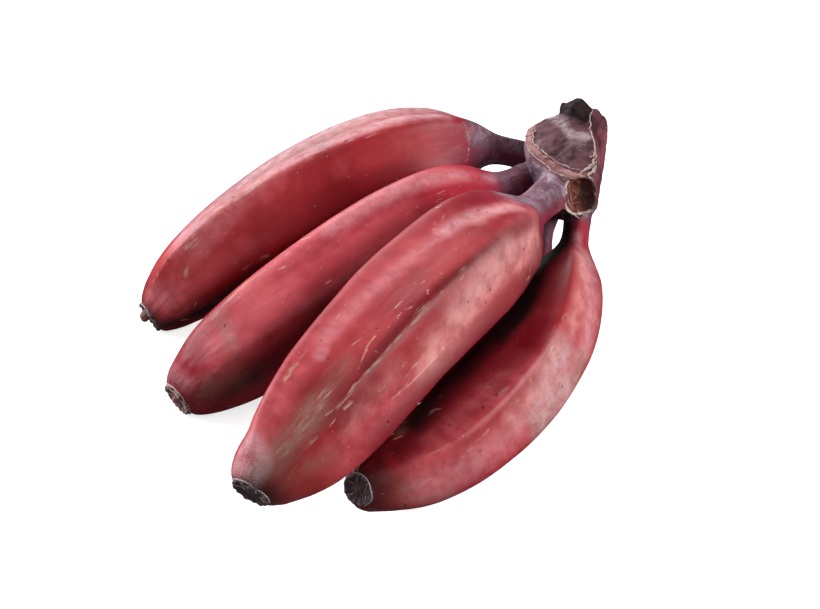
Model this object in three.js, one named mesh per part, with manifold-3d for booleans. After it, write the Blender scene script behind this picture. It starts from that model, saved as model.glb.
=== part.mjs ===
// A hand of red bananas lying on a flat surface: five fingers grown together on one crown.
// Millimetres, +Z up. The crown is towards +Y and the finger tips are towards -Y.
import * as THREE from 'three';
import { mergeVertices } from 'three/addons/utils/BufferGeometryUtils.js';
import Module from 'manifold-3d';

// ---- driving dimensions ----
const SIDES = 20; // corners of a finger's cross-section, four for each ridge
const RINGS = 32; // cross-sections from neck to tip
const SPINE_STEPS = 240;
const RIDGES = 5;
const GAP = 0.3; // clearance between pieces that touch
const FLAT_DEPTH = 0.5; // how far the resting bellies and tips sink before they are cut flat
const SURFACE_SIZE = 600;
const CUT_DEPTH = 60;

const TIP_LIFT = 24; // degrees that the blossom end turns up from the spine
const TIP_LIFT_START = 0.93; // share of the length where that turn begins

// Half-width along a finger as a share of its largest: [share of length, share of half-width].
const GIRTH = [
  [0, 0.27], [0.05, 0.265], [0.1, 0.31], [0.15, 0.5], [0.2, 0.72], [0.28, 0.9], [0.36, 0.975],
  [0.5, 1], [0.64, 0.97], [0.76, 0.91], [0.87, 0.79], [0.94, 0.62], [0.98, 0.45], [1, 0.36],
];
const RIDGE_HEIGHT_NECK = 0.075; // ridge height as a share of the half-width
const RIDGE_HEIGHT_BODY = 0.042;
const RIDGE_HEIGHT_TIP = 0.02;

// root: where the neck leaves the crown. heading: degrees from +X towards +Y, pitch: degrees above
// level, each from root to tip. bend: where the curving is strongest (+ near the root, - near the
// tip). ridge: degrees from straight up to one ridge. neck: extra share of the length for the neck.
const FINGERS = [
  {
    root: [-28.5, 93, 33.5], heading: [253, 250], pitch: [36, -37.5], length: 171, radius: 18.9,
    bend: 0.7, ridge: -3, neck: 0, rests: true,
  },
  {
    root: [-13.5, 80.5, 37.5], heading: [280, 251], pitch: [21.5, -30], length: 173, radius: 19.6,
    bend: 0.7, ridge: 17, neck: 0.05, rests: true,
  },
  {
    root: [10.5, 65, 48], heading: [287, 269], pitch: [9.5, -27.5], length: 190, radius: 20.6,
    bend: -0.7, ridge: 36, neck: 0.03, rests: false,
  },
  {
    root: [13, 72.5, 39], heading: [313.5, 254], pitch: [-17.5, 2.5], length: 165, radius: 17.8,
    bend: -0.15, ridge: 42, neck: 0, rests: true,
  },
  {
    root: [-9.4, 87.4, 24.6], heading: [297, 267.5], pitch: [-10, 1], length: 156, radius: 15.8,
    bend: 0.7, ridge: 33, neck: 0, rests: true,
  },
];

// The crown: an upright pad of egg-shaped cross-sections, longest along CROWN_HEADING.
const CROWN_CENTRE = [-5, 87.5];
const CROWN_HEADING = 135;
const CROWN_SIDES = 20;
// [height, half-length, half-width, shift along the heading, shift across it]
const CROWN_LAYERS = [
  [24, 11, 8, 1, -2],
  [29, 19, 11, 1, -1.5],
  [36, 24, 13, 0, -0.5],
  [44, 25, 14.2, -2.5, 0],
  [51, 23.5, 14.8, -6, 0.5],
  [55, 23, 14.2, -6.8, 0.5],
  [57, 21.5, 12.8, -7, 0.3],
];
const CROWN_SQUARENESS = 2.5; // 2 is a plain egg, more is blunter
const COLLAR_FLARE = 1.5; // collar half-width inside the crown, as a share of the neck's
const COLLAR_RINGS = 6;
const COLLAR_REACH = 7; // how far a collar runs on straight behind the neck before it bends
const CORE = { along: 0.8, height: 42, rise: 0.6 }; // where collars end: on the crown's own axis
// Two leaning lobes: [along the heading, across it, height, half-length, half-width], foot then top.
const STUB = { foot: [11, 1.5, 48, 9, 8], top: [16, 3, 62.5, 6.5, 6] };
const FIN = { foot: [4, 8, 38, 10, 5], top: [8, 15.2, 57.5, 5, 1.6] };
const SOCKET = { along: -30, across: 4.4, height: 50.4, half: [5.6, 6.8], length: 15 };
const SOCKET_RIM = 2.2;
const SOCKET_DEPTH = 4.5;
const SOCKET_OFFSET = 0.9; // the hollow is off centre, away from the neck beside it
const SOCKET_TILT = 20; // degrees that the torn socket looks up from level

// The dried blossom ends: [half-width share of the finger's end, height] from the fruit outwards.
const BLOSSOM_PROFILE = [[0, 0], [0.93, 0], [1, 0.9], [0.94, 2.1], [0.66, 2.5], [0.45, 1.6], [0, 1.4]];
const BLOSSOM_SEGMENTS = 16;

const PEEL_COLOUR = '#a23a3c';
const NECK_COLOUR = '#7c4a5c';
const BLOSSOM_COLOUR = '#33231f';

const wasm = await Module();
wasm.setup();

const UP = new THREE.Vector3(0, 0, 1);
const radians = THREE.MathUtils.degToRad;
const lerp = THREE.MathUtils.lerp;

// ---- joining and cutting ----
function toSolid(geometry) {
  const bare = geometry.clone();
  bare.deleteAttribute('normal');
  bare.deleteAttribute('uv');
  const merged = mergeVertices(bare, 1e-4);
  return new wasm.Manifold(new wasm.Mesh({
    numProp: 3,
    vertProperties: new Float32Array(merged.attributes.position.array),
    triVerts: new Uint32Array(merged.index.array),
  }));
}

function toGeometry(solid) {
  const mesh = solid.getMesh();
  const geometry = new THREE.BufferGeometry();
  geometry.setAttribute('position', new THREE.BufferAttribute(mesh.vertProperties, 3));
  geometry.setIndex(new THREE.BufferAttribute(mesh.triVerts, 1));
  geometry.computeVertexNormals();
  return geometry;
}

// Everything below the surface that the hand lies on.
function belowSurface() {
  const box = new THREE.BoxGeometry(SURFACE_SIZE, SURFACE_SIZE, CUT_DEPTH);
  box.translate(0, 0, -CUT_DEPTH / 2);
  return toSolid(box);
}

// ---- lofting: closed rings of points, joined in order and capped at both ends ----
function loftRings(rings) {
  const sides = rings[0].length;
  const positions = [];
  const indices = [];
  for (const ring of rings) {
    for (const point of ring) {
      positions.push(point.x, point.y, point.z);
    }
  }
  for (let row = 0; row < rings.length - 1; row += 1) {
    for (let side = 0; side < sides; side += 1) {
      const here = row * sides + side;
      const next = row * sides + ((side + 1) % sides);
      indices.push(here, next, next + sides, here, next + sides, here + sides);
    }
  }
  for (const row of [0, rings.length - 1]) {
    const middle = new THREE.Vector3();
    rings[row].forEach((point) => middle.addScaledVector(point, 1 / sides));
    const centre = positions.length / 3;
    positions.push(middle.x, middle.y, middle.z);
    for (let side = 0; side < sides; side += 1) {
      const here = row * sides + side;
      const next = row * sides + ((side + 1) % sides);
      indices.push(...(row === 0 ? [centre, next, here] : [centre, here, next]));
    }
  }
  const geometry = new THREE.BufferGeometry();
  geometry.setAttribute('position', new THREE.Float32BufferAttribute(positions, 3));
  geometry.setIndex(indices);
  geometry.computeVertexNormals();
  return geometry;
}

// A smooth curve through the GIRTH points that never overshoots them.
function girthAt(share) {
  const slope = (index) => {
    if (index <= 0 || index >= GIRTH.length - 1) {
      return 0;
    }
    const before = (GIRTH[index][1] - GIRTH[index - 1][1]) / (GIRTH[index][0] - GIRTH[index - 1][0]);
    const after = (GIRTH[index + 1][1] - GIRTH[index][1]) / (GIRTH[index + 1][0] - GIRTH[index][0]);
    return before * after > 0 ? (2 * before * after) / (before + after) : 0;
  };
  const found = GIRTH.findIndex(([place]) => place >= share);
  const right = Math.max(1, found < 0 ? GIRTH.length - 1 : found);
  const [x0, y0] = GIRTH[right - 1];
  const [x1, y1] = GIRTH[right];
  const span = x1 - x0;
  const s = (share - x0) / span;
  const endSlope = right === GIRTH.length - 1 ? (y1 - y0) / span : slope(right);
  return (2 * s ** 3 - 3 * s ** 2 + 1) * y0 + (s ** 3 - 2 * s ** 2 + s) * span * slope(right - 1)
    + (3 * s ** 2 - 2 * s ** 3) * y1 + (s ** 3 - s ** 2) * span * endSlope;
}

// ---- fingers ----
function directionAt(finger, share) {
  const turned = share + finger.bend * share * (1 - share);
  const heading = radians(lerp(finger.heading[0], finger.heading[1], turned));
  const pitch = radians(lerp(finger.pitch[0], finger.pitch[1], turned));
  return new THREE.Vector3(
    Math.cos(heading) * Math.cos(pitch),
    Math.sin(heading) * Math.cos(pitch),
    Math.sin(pitch),
  );
}

// Points along the finger's middle line, SPINE_STEPS of them.
function spinePoints(finger) {
  const points = [new THREE.Vector3(...finger.root)];
  for (let step = 0; step < SPINE_STEPS; step += 1) {
    const direction = directionAt(finger, (step + 0.5) / SPINE_STEPS);
    points.push(points[step].clone().addScaledVector(direction, finger.length / SPINE_STEPS));
  }
  return points;
}

function spineAt(points, share) {
  const place = THREE.MathUtils.clamp(share, 0, 1) * SPINE_STEPS;
  const before = Math.min(Math.floor(place), SPINE_STEPS - 1);
  return points[before].clone().lerp(points[before + 1], place - before);
}

function ridgeHeightAt(share) {
  const body = THREE.MathUtils.smoothstep(share, 0.08, 0.35);
  const tip = THREE.MathUtils.smoothstep(share, 0.8, 1);
  return lerp(lerp(RIDGE_HEIGHT_NECK, RIDGE_HEIGHT_BODY, body), RIDGE_HEIGHT_TIP, tip);
}

// Axes of the cross-section: it looks along the spine, and near the tip it turns up.
function sectionAxes(finger, share) {
  const along = directionAt(finger, share);
  const up = UP.clone().addScaledVector(along, -along.z).normalize();
  const lift = radians(TIP_LIFT * THREE.MathUtils.smoothstep(share, TIP_LIFT_START, 1));
  const facing = along.clone().multiplyScalar(Math.cos(lift)).addScaledVector(up, Math.sin(lift));
  const tall = up.multiplyScalar(Math.cos(lift)).addScaledVector(along, -Math.sin(lift));
  return { facing, tall, wide: new THREE.Vector3().crossVectors(facing, tall) };
}

function fingerRing(finger, points, share, extra) {
  const { tall, wide } = sectionAxes(finger, share);
  const centre = spineAt(points, share);
  const girth = finger.radius * girthAt(Math.max(0, (share - finger.neck) / (1 - finger.neck)));
  const ring = [];
  for (let side = 0; side < SIDES; side += 1) {
    const angle = (side / SIDES) * 2 * Math.PI;
    const ridge = 1 + ridgeHeightAt(share) * Math.cos(RIDGES * angle);
    const reach = girth * ridge + extra;
    const turned = angle + radians(finger.ridge);
    ring.push(centre.clone()
      .addScaledVector(tall, reach * Math.cos(turned))
      .addScaledVector(wide, reach * Math.sin(turned)));
  }
  return ring;
}

// Cross-sections crowd towards the neck and the tip, where the shape changes fastest.
function ringShare(index, count) {
  const even = index / (count - 1);
  return even - (0.7 * Math.sin(2 * Math.PI * even)) / (2 * Math.PI);
}

function fingerGeometry(finger, extra = 0) {
  const points = spinePoints(finger);
  const rings = [];
  for (let index = 0; index < RINGS; index += 1) {
    rings.push(fingerRing(finger, points, ringShare(index, RINGS), extra));
  }
  if (extra > 0) {
    const back = directionAt(finger, 0).multiplyScalar(-extra);
    rings[0].forEach((point) => point.add(back));
  }
  return loftRings(rings);
}

// A resting finger is let down until its lowest ring is FLAT_DEPTH under the surface.
function settle(finger) {
  const points = spinePoints(finger);
  let lowest = Infinity;
  for (let index = 0; index < RINGS; index += 1) {
    for (const point of fingerRing(finger, points, ringShare(index, RINGS), 0)) {
      lowest = Math.min(lowest, point.z);
    }
  }
  finger.root[2] -= lowest + FLAT_DEPTH;
}

FINGERS.filter((finger) => finger.rests).forEach(settle);

// ---- crown ----
const ALONG = new THREE.Vector3(Math.cos(radians(CROWN_HEADING)), Math.sin(radians(CROWN_HEADING)), 0);
const ACROSS = new THREE.Vector3(ALONG.y, -ALONG.x, 0);

function crownPoint(along, across, height) {
  return new THREE.Vector3(CROWN_CENTRE[0], CROWN_CENTRE[1], height)
    .addScaledVector(ALONG, along)
    .addScaledVector(ACROSS, across);
}

const blunted = (value) => Math.sign(value) * Math.abs(value) ** (2 / CROWN_SQUARENESS);

function crownRing(height, halfLength, halfWidth, along, across, sides = CROWN_SIDES) {
  const ring = [];
  for (let side = 0; side < sides; side += 1) {
    const angle = (side / sides) * 2 * Math.PI;
    const narrowing = 1 - 0.14 * Math.cos(angle); // the far end is the narrow end of the egg
    ring.push(crownPoint(
      along + halfLength * blunted(Math.cos(angle)),
      across - halfWidth * narrowing * blunted(Math.sin(angle)),
      height,
    ));
  }
  return ring;
}

function padGeometry() {
  return loftRings(CROWN_LAYERS.map((layer) => crownRing(...layer)));
}

// A collar carries the neck's own cross-section back into the crown, bending and widening. The
// finger, grown by GAP, is cut out of it afterwards.
function collarGeometry(finger) {
  const root = new THREE.Vector3(...finger.root);
  const back = directionAt(finger, 0).negate();
  const neck = fingerRing(finger, spinePoints(finger), 0, 0).map((point) => point.sub(root));
  const along = root.clone().sub(crownPoint(0, 0, 0)).dot(ALONG) * CORE.along;
  const core = crownPoint(along, 0, lerp(root.z, CORE.height, CORE.rise));
  const bend = root.clone().addScaledVector(back, COLLAR_REACH);
  const path = new THREE.QuadraticBezierCurve3(root, bend, core);
  const rings = [];
  for (let index = COLLAR_RINGS - 1; index >= 0; index -= 1) {
    const share = index / (COLLAR_RINGS - 1);
    const turn = new THREE.Quaternion().setFromUnitVectors(back, path.getTangent(share));
    const centre = path.getPoint(share);
    rings.push(neck.map((point) => point.clone()
      .multiplyScalar(lerp(1, COLLAR_FLARE, share))
      .applyQuaternion(turn)
      .add(centre)));
  }
  return loftRings(rings);
}

// A leaning lobe with a rounded top.
function lobeGeometry({ foot, top }) {
  return loftRings([0, 0.45, 0.75, 0.93, 1].map((share) => {
    const [along, across, height, halfLength, halfWidth] = foot.map((from, i) => lerp(from, top[i], share));
    const size = Math.sqrt(1.1 - share ** 4);
    return crownRing(height, halfLength * size, halfWidth * size, along, across, CROWN_SIDES / 2);
  }));
}

// The socket that a torn-off finger left at the near end: an oval cup.
function socketOval(grow, shift, from, to) {
  const tilt = radians(SOCKET_TILT);
  const outwards = ALONG.clone().multiplyScalar(-Math.cos(tilt)).addScaledVector(UP, Math.sin(tilt));
  const tall = new THREE.Vector3().crossVectors(outwards, ACROSS).normalize();
  const mouth = crownPoint(SOCKET.along, SOCKET.across + shift, SOCKET.height);
  return loftRings([from, to].map((distance) => {
    const ring = [];
    for (let side = 0; side < CROWN_SIDES; side += 1) {
      const angle = (side / CROWN_SIDES) * 2 * Math.PI;
      ring.push(mouth.clone()
        .addScaledVector(outwards, distance)
        .addScaledVector(ACROSS, (SOCKET.half[0] + grow) * Math.cos(angle))
        .addScaledVector(tall, (SOCKET.half[1] + grow) * Math.sin(angle)));
    }
    return ring;
  }));
}

function crownGeometry() {
  let crown = toSolid(padGeometry());
  for (const finger of FINGERS) {
    crown = crown.add(toSolid(collarGeometry(finger)));
  }
  crown = crown.add(toSolid(lobeGeometry(STUB))).add(toSolid(lobeGeometry(FIN)));
  crown = crown.add(toSolid(socketOval(0, 0, -SOCKET.length, 0)));
  crown = crown.subtract(toSolid(socketOval(-SOCKET_RIM, SOCKET_OFFSET, -SOCKET_DEPTH, 1)));
  for (const finger of FINGERS) {
    crown = crown.subtract(toSolid(fingerGeometry(finger, GAP)));
  }
  return toGeometry(crown);
}

// ---- blossom ends ----
function blossomGeometry(finger) {
  const { facing, tall } = sectionAxes(finger, 1);
  const endRadius = finger.radius * girthAt(1);
  const profile = BLOSSOM_PROFILE.map(([share, height]) => new THREE.Vector2(share * endRadius, height));
  const geometry = new THREE.LatheGeometry(profile, BLOSSOM_SEGMENTS);
  const basis = new THREE.Matrix4().makeBasis(
    new THREE.Vector3().crossVectors(facing, tall),
    facing,
    tall,
  );
  geometry.applyMatrix4(basis);
  const end = spineAt(spinePoints(finger), 1).addScaledVector(facing, GAP);
  geometry.translate(end.x, end.y, end.z);
  return geometry;
}

// ---- the hand ----
function material(name, colour, roughness) {
  return new THREE.MeshStandardMaterial({ name, color: colour, roughness, metalness: 0 });
}

function addPiece(group, name, geometry, piece) {
  const mesh = new THREE.Mesh(geometry, piece);
  mesh.name = name;
  group.add(mesh);
}

const hand = new THREE.Group();
addPiece(hand, 'crown', crownGeometry(), material('crown skin', NECK_COLOUR, 0.7));

const surface = belowSurface();
FINGERS.forEach((finger, index) => {
  const body = fingerGeometry(finger);
  const rested = finger.rests ? toGeometry(toSolid(body).subtract(surface)) : body;
  addPiece(hand, `finger_${index + 1}`, rested, material('red peel', PEEL_COLOUR, 0.45));
  const end = toSolid(blossomGeometry(finger)).subtract(surface);
  addPiece(hand, `blossom_end_${index + 1}`, toGeometry(end), material('dried end', BLOSSOM_COLOUR, 0.85));
});

// The origin is at the middle of the bounding box, on the surface.
const bounds = new THREE.Box3().setFromObject(hand);
const middle = bounds.getCenter(new THREE.Vector3());
hand.position.set(-middle.x, -middle.y, -bounds.min.z);
hand.updateMatrixWorld(true);

export default hand;
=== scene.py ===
"""A hand of red bananas lying on a pale table: five fingers grown together on one woody crown.

Lengths in the classes are millimetres and angles are degrees; meshes are made in metres. A finger is
modelled straight, on its own axis, then laid along its curved middle line, so that every mark on
the peel is placed by its share of the length and its angle round the finger.
"""
from __future__ import annotations

import logging
import math
from dataclasses import dataclass, field
from enum import Enum
from typing import Iterable

import bpy
import numpy as np
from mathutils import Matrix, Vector, noise


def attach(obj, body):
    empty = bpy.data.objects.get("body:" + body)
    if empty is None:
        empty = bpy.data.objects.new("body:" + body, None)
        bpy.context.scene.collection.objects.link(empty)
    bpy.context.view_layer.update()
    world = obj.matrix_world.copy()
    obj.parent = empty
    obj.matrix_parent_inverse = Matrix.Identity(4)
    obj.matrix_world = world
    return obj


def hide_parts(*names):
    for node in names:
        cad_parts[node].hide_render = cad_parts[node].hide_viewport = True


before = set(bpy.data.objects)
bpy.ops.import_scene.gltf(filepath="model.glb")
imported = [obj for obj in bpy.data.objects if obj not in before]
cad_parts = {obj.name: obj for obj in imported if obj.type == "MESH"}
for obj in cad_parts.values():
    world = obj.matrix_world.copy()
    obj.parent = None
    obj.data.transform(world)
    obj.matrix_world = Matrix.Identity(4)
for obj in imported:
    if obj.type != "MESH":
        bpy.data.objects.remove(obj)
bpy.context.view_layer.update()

logging.basicConfig(level=logging.INFO, format="%(message)s")
log = logging.getLogger("red_banana_hand")

Array = np.ndarray  # short names for types
Piece = bpy.types.Object
Socket = bpy.types.NodeSocket
Inputs = bpy.types.NodeInputs
Outputs = bpy.types.NodeOutputs
Pair = tuple[float, float]
Pairs = tuple[Pair, ...]
Triple = tuple[float, float, float]

MM = 0.001  # metres
BODY = "root"
HAND_SHIFT = np.array([6.2175, 6.7934, 0.0])  # from the crown's own axes to the middle of the hand
SPINE_STEPS = 240  # straight pieces in a finger's middle line
SMOOTHING_LOSS = 1.0065  # a 32-sided bar loses this much of its width when it is smoothed
RIDGES = 5  # ridges round a finger
FRAYED_END = 2  # the finger whose dried end is paler and more ragged
TIP_TURN_START = 0.9  # share of the length where a tip starts to turn towards its scar
TO_THE_RIGHT = np.array([0.7071, 0.7071, 0.0])  # as the hand is looked at from the front
AWAY = np.array([-0.7071, 0.7071, 0.0])
UP = np.array([0.0, 0.0, 1.0])
RING_CROWDING = 0.7  # how far cross-sections move towards both ends: 0 for none, 1 for most
ROUNDING_TIP = 4.5  # how sharp a finger's ridges are at its tip, as Finger.crisp
ROUNDING_NECK = 4.2  # the same on its neck
LUMP_HEIGHT, LUMP_SIZE = 0.32, 26.0  # soft lumps of the peel, in millimetres
FIBRE_HEIGHT, FIBRE_END_HEIGHT, FIBRE_SIZE = 0.05, 0.22, 2.6  # its fibres, and how they rise at both ends
FIBRE_SQUEEZE = 0.22  # how far lengths are squeezed before the fibres' noise is read, to stretch them
SCURF_EDGE = (0.3, 1.2)  # where a stroke of scurf fades out, as shares of its half-width
SOFT_REACH = 1.45  # how far all softer strokes reach, as a share of their half-width
TIP_SEAT = 3.0  # how far the middle of a tip is sunk under its dried end, in millimetres
FLECK_CLUSTERS = 16  # clusters of pale flecks on each finger
END_PROFILE = (  # a dried end as (share of the half-width, height), from behind the rim inwards
    (0.84, -2.6), (0.95, -1.2), (1.0, -0.2), (0.98, 0.55), (0.88, 0.9), (0.74, 0.45), (0.58, -0.1),
    (0.42, -0.2), (0.24, 0.15), (0.1, 0.3))
SOCKET_PROFILE = (  # the same for the torn socket
    (0.9, -4.6), (0.98, -2.2), (1.04, -0.3), (1.05, 0.5), (0.98, 0.85), (0.9, 0.1), (0.8, -0.8),
    (0.68, -1.2), (0.5, -1.5), (0.3, -1.8), (0.12, -1.9))
GIRTH = np.array([  # (share of the length, share of the largest half-width) of a finger with its neck
    [0, 0.29], [0.05, 0.275], [0.1, 0.31], [0.15, 0.5], [0.2, 0.72], [0.28, 0.9], [0.36, 0.975],
    [0.5, 1], [0.64, 0.97], [0.76, 0.91], [0.87, 0.795], [0.94, 0.645], [0.97, 0.55], [0.985, 0.475],
    [0.995, 0.4], [1, 0.34],
])


# ---- small helpers

def smooth(low: float, high: float, value: Array) -> Array:
    """Return an S-curve that is 0 at low and 1 at high.

    Args:
        low: where the curve leaves 0 (it may be above high, and then the curve falls).
        high: where the curve reaches 1.
        value: the numbers to look up.
    Returns:
        An array like value, between 0 and 1.
    """
    share = np.clip((value - low) / (high - low), 0.0, 1.0)
    return share * share * (3.0 - 2.0 * share)


def heading_pitch(heading: Array, pitch: Array) -> Array:
    """Return unit directions from headings and pitches given in degrees."""
    h, p = np.radians(heading), np.radians(pitch)
    return np.stack([np.cos(h) * np.cos(p), np.sin(h) * np.cos(p), np.sin(p)], axis=-1)


def unit(vectors: Array) -> Array:
    """Return vectors of length one."""
    return vectors / np.linalg.norm(vectors, axis=-1, keepdims=True)


def wrapped(degrees: Array) -> Array:
    """Return angles carried into the span from -180 to 180 degrees."""
    return (degrees + 180.0) % 360.0 - 180.0


def polar(points: Array) -> tuple[Array, Array]:
    """Return each point's distance from the Z axis and its angle round it in degrees."""
    x, y = points[:, 0], points[:, 1]
    return np.hypot(x, y), np.degrees(np.arctan2(y, x))


def near(points: Array, spot: Triple, far: float, close: float) -> Array:
    """Return 1 for points closer to a spot than close, falling to 0 at the distance far."""
    return smooth(far, close, np.linalg.norm(points - spot, axis=1))


def girth_at(share: Array) -> Array:
    """Return the half-width along a finger as a share of its largest, with no overshoot.

    Args:
        share: places along the finger, 0 at the crown and 1 at the blossom end.
    Returns:
        The share of the largest half-width at each place.
    """
    place, width = GIRTH[:, 0], GIRTH[:, 1]
    run = np.diff(place)
    rise = np.diff(width) / run
    slope = np.zeros(len(place))
    product = rise[:-1] * rise[1:]
    slope[1:-1] = np.where(product > 0, 2 * product / np.where(product > 0, rise[:-1] + rise[1:], 1), 0)
    slope[-1] = rise[-1]
    share = np.clip(share, 0.0, 1.0)
    left = np.clip(np.searchsorted(place, share, side="right") - 1, 0, len(run) - 1)
    s = (share - place[left]) / run[left]
    return ((2 * s**3 - 3 * s**2 + 1) * width[left] + (s**3 - 2 * s**2 + s) * run[left] * slope[left]
            + (3 * s**2 - 2 * s**3) * width[left + 1] + (s**3 - s**2) * run[left] * slope[left + 1])


def ring_shares(count: int) -> Array:
    """Return places for cross-sections that crowd towards both ends."""
    even = np.linspace(0.0, 1.0, count)
    return even - RING_CROWDING * np.sin(math.tau * even) / math.tau


def rough(points: Array, size: float, octaves: int = 2, seed: float = 0.0) -> Array:
    """Return smooth noise at each point.

    Args:
        points: positions in millimetres, one row each.
        size: width of the largest lumps in millimetres.
        octaves: how many finer layers are added.
        seed: moves the pattern, so that no two fingers are alike.
    Returns:
        Numbers of about -1 to 1, one for each point.
    """
    scaled = points / size + seed
    return np.array([noise.fractal(Vector(p), 1.0, 2.0, octaves) for p in scaled])


def resample(corners: Iterable[tuple[float, ...]], each: int) -> tuple[Array, Array]:
    """Return even steps along a path through corners, and the path's points there.

    Args:
        corners: points with any number of coordinates, in order.
        each: how many steps to take for each corner.
    Returns:
        The steps, counted in corners, and one row for each step.
    """
    knots = np.array(corners, dtype=float)
    steps = np.linspace(0, len(knots) - 1, each * len(knots))
    return steps, np.column_stack([np.interp(steps, np.arange(len(knots)), column) for column in knots.T])


def drift(steps: Array, size: float, seed: float) -> Array:
    """Return smooth noise along a path, like rough."""
    return rough(steps[:, None] * (1.0, 0.0, 0.0), size, 2, seed)


def deselect_all() -> None:
    """Leave no object selected and no edit mode open."""
    if bpy.context.object and bpy.context.object.mode != "OBJECT":
        bpy.ops.object.mode_set(mode="OBJECT")
    bpy.ops.object.select_all(action="DESELECT")


def activate(piece: Piece) -> None:
    """Make one object the only selected one and the active one.

    Args:
        piece: any object.
    """
    deselect_all()
    piece.select_set(True)
    bpy.context.view_layer.objects.active = piece


def apply_modifier(piece: Piece, kind: str, **settings: object) -> None:
    """Add a modifier, set it and apply it.

    Args:
        piece: the mesh object.
        kind: Blender's name for the modifier's type.
        settings: the modifier's values.
    """
    activate(piece)
    modifier = piece.modifiers.new(kind.title(), kind)
    for name, value in settings.items():
        setattr(modifier, name, value)
    bpy.ops.object.modifier_apply(modifier=modifier.name)


def coordinates(piece: Piece) -> Array:
    """Return the piece's vertices in millimetres, one row each.

    Args:
        piece: the mesh object.
    Returns:
        Positions in its own space.
    """
    flat = np.empty(len(piece.data.vertices) * 3)
    piece.data.vertices.foreach_get("co", flat)
    return flat.reshape(-1, 3) / MM


def move_vertices(piece: Piece, points: Array) -> None:
    """Put the piece's vertices at points given in millimetres."""
    piece.data.vertices.foreach_set("co", (points * MM).ravel())
    piece.data.update()


def normals_of(piece: Piece) -> Array:
    """Return the piece's vertex normals, one row each.

    Args:
        piece: the mesh object.
    Returns:
        Directions of length one.
    """
    flat = np.empty(len(piece.data.vertices) * 3)
    piece.data.vertex_normals.foreach_get("vector", flat)
    return flat.reshape(-1, 3)


def store(piece: Piece, name: str, values: Array) -> None:
    """Keep a number or a vector for each vertex under a name that materials can read.

    Args:
        piece: the mesh object.
        name: the attribute's name.
        values: one number or one row of three for each vertex.
    """
    kind, key = ("FLOAT_VECTOR", "vector") if values.ndim == 2 else ("FLOAT", "value")
    attribute = piece.data.attributes.new(name, kind, "POINT")
    attribute.data.foreach_set(key, values.astype(np.float32).ravel())


def face_outwards(piece: Piece) -> None:
    """Turn the piece's faces outwards.

    Args:
        piece: the mesh object.
    """
    activate(piece)
    bpy.ops.object.mode_set(mode="EDIT")
    bpy.ops.mesh.select_all(action="SELECT")
    bpy.ops.mesh.normals_make_consistent(inside=False)
    bpy.ops.object.mode_set(mode="OBJECT")


def polish(piece: Piece) -> None:
    """Turn the faces outwards and shade them smooth."""
    face_outwards(piece)
    bpy.ops.object.shade_smooth()


def straight_blank(name: str, sides: int, lengths: Array, widths: Array) -> Piece:
    """Model a straight round bar with a changing width, standing on the origin.

    Args:
        name: the object's name.
        sides: corners of its cross-section.
        lengths: heights of its cross-sections in millimetres, from the first at the bottom.
        widths: half-width of each cross-section in millimetres.
    Returns:
        The bar, a closed mesh with a fan of faces at each end.
    """
    deselect_all()
    bpy.ops.mesh.primitive_circle_add(
        vertices=sides, radius=widths[0] * MM, fill_type="TRIFAN", location=(0, 0, lengths[0] * MM))
    piece = bpy.context.object
    piece.name = name
    bpy.ops.object.transform_apply(location=True, rotation=True, scale=True)
    bpy.ops.object.mode_set(mode="EDIT")
    bpy.ops.mesh.select_all(action="SELECT")
    for index in range(1, len(lengths)):
        rise = (lengths[index] - lengths[index - 1]) * MM
        bpy.ops.mesh.extrude_region_move(TRANSFORM_OT_translate={"value": (0, 0, rise)})
        growth = widths[index] / widths[index - 1]
        bpy.ops.transform.resize(value=(growth, growth, 1), center_override=(0, 0, lengths[index] * MM))
    face_outwards(piece)
    return piece


def join(pieces: list[Piece], name: str) -> Piece:
    """Join meshes into the first of them and name it.

    Args:
        pieces: meshes to join.
        name: the name to give.
    Returns:
        The joined mesh.
    """
    deselect_all()
    for piece in pieces:
        piece.select_set(True)
    bpy.context.view_layer.objects.active = pieces[0]
    bpy.ops.object.join()
    pieces[0].name = name
    return pieces[0]


# ---- marks on the peel

class Mark(Enum):
    """What a brush stroke lays on the peel: the attribute that keeps it."""

    SCURF = "scurf"  # tan, corky scars
    BLOOM = "bloom"  # pale grey-pink wax; on the flanks that face the lamps it is laid as a painted highlight
    BLUSH_AND_LIGHT = "blush_and_light"  # coral pink, laid in places as painted light on the lit flats
    LIT_SALMON = "lit_salmon"  # light pink on the lit flats: painted light
    DARK_AND_SHADE = "dark_and_shade"  # maroon to black: painted shade on the undersides and between fingers, and the darker ends by the scars
    CRIMSON = "crimson"  # clear, deep red laid on the shaded flanks: painted shade
    SHADE = "shade"  # nearly black: painted shade deep between two fingers
    OCHRE = "ochre"  # olive brown, near the tips
    PLUM = "plum"  # mauve skin of the neck and the crown
    HAIR = "hair"  # hair-fine pale scratches
    SPOT = "spot"  # dark specks


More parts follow.
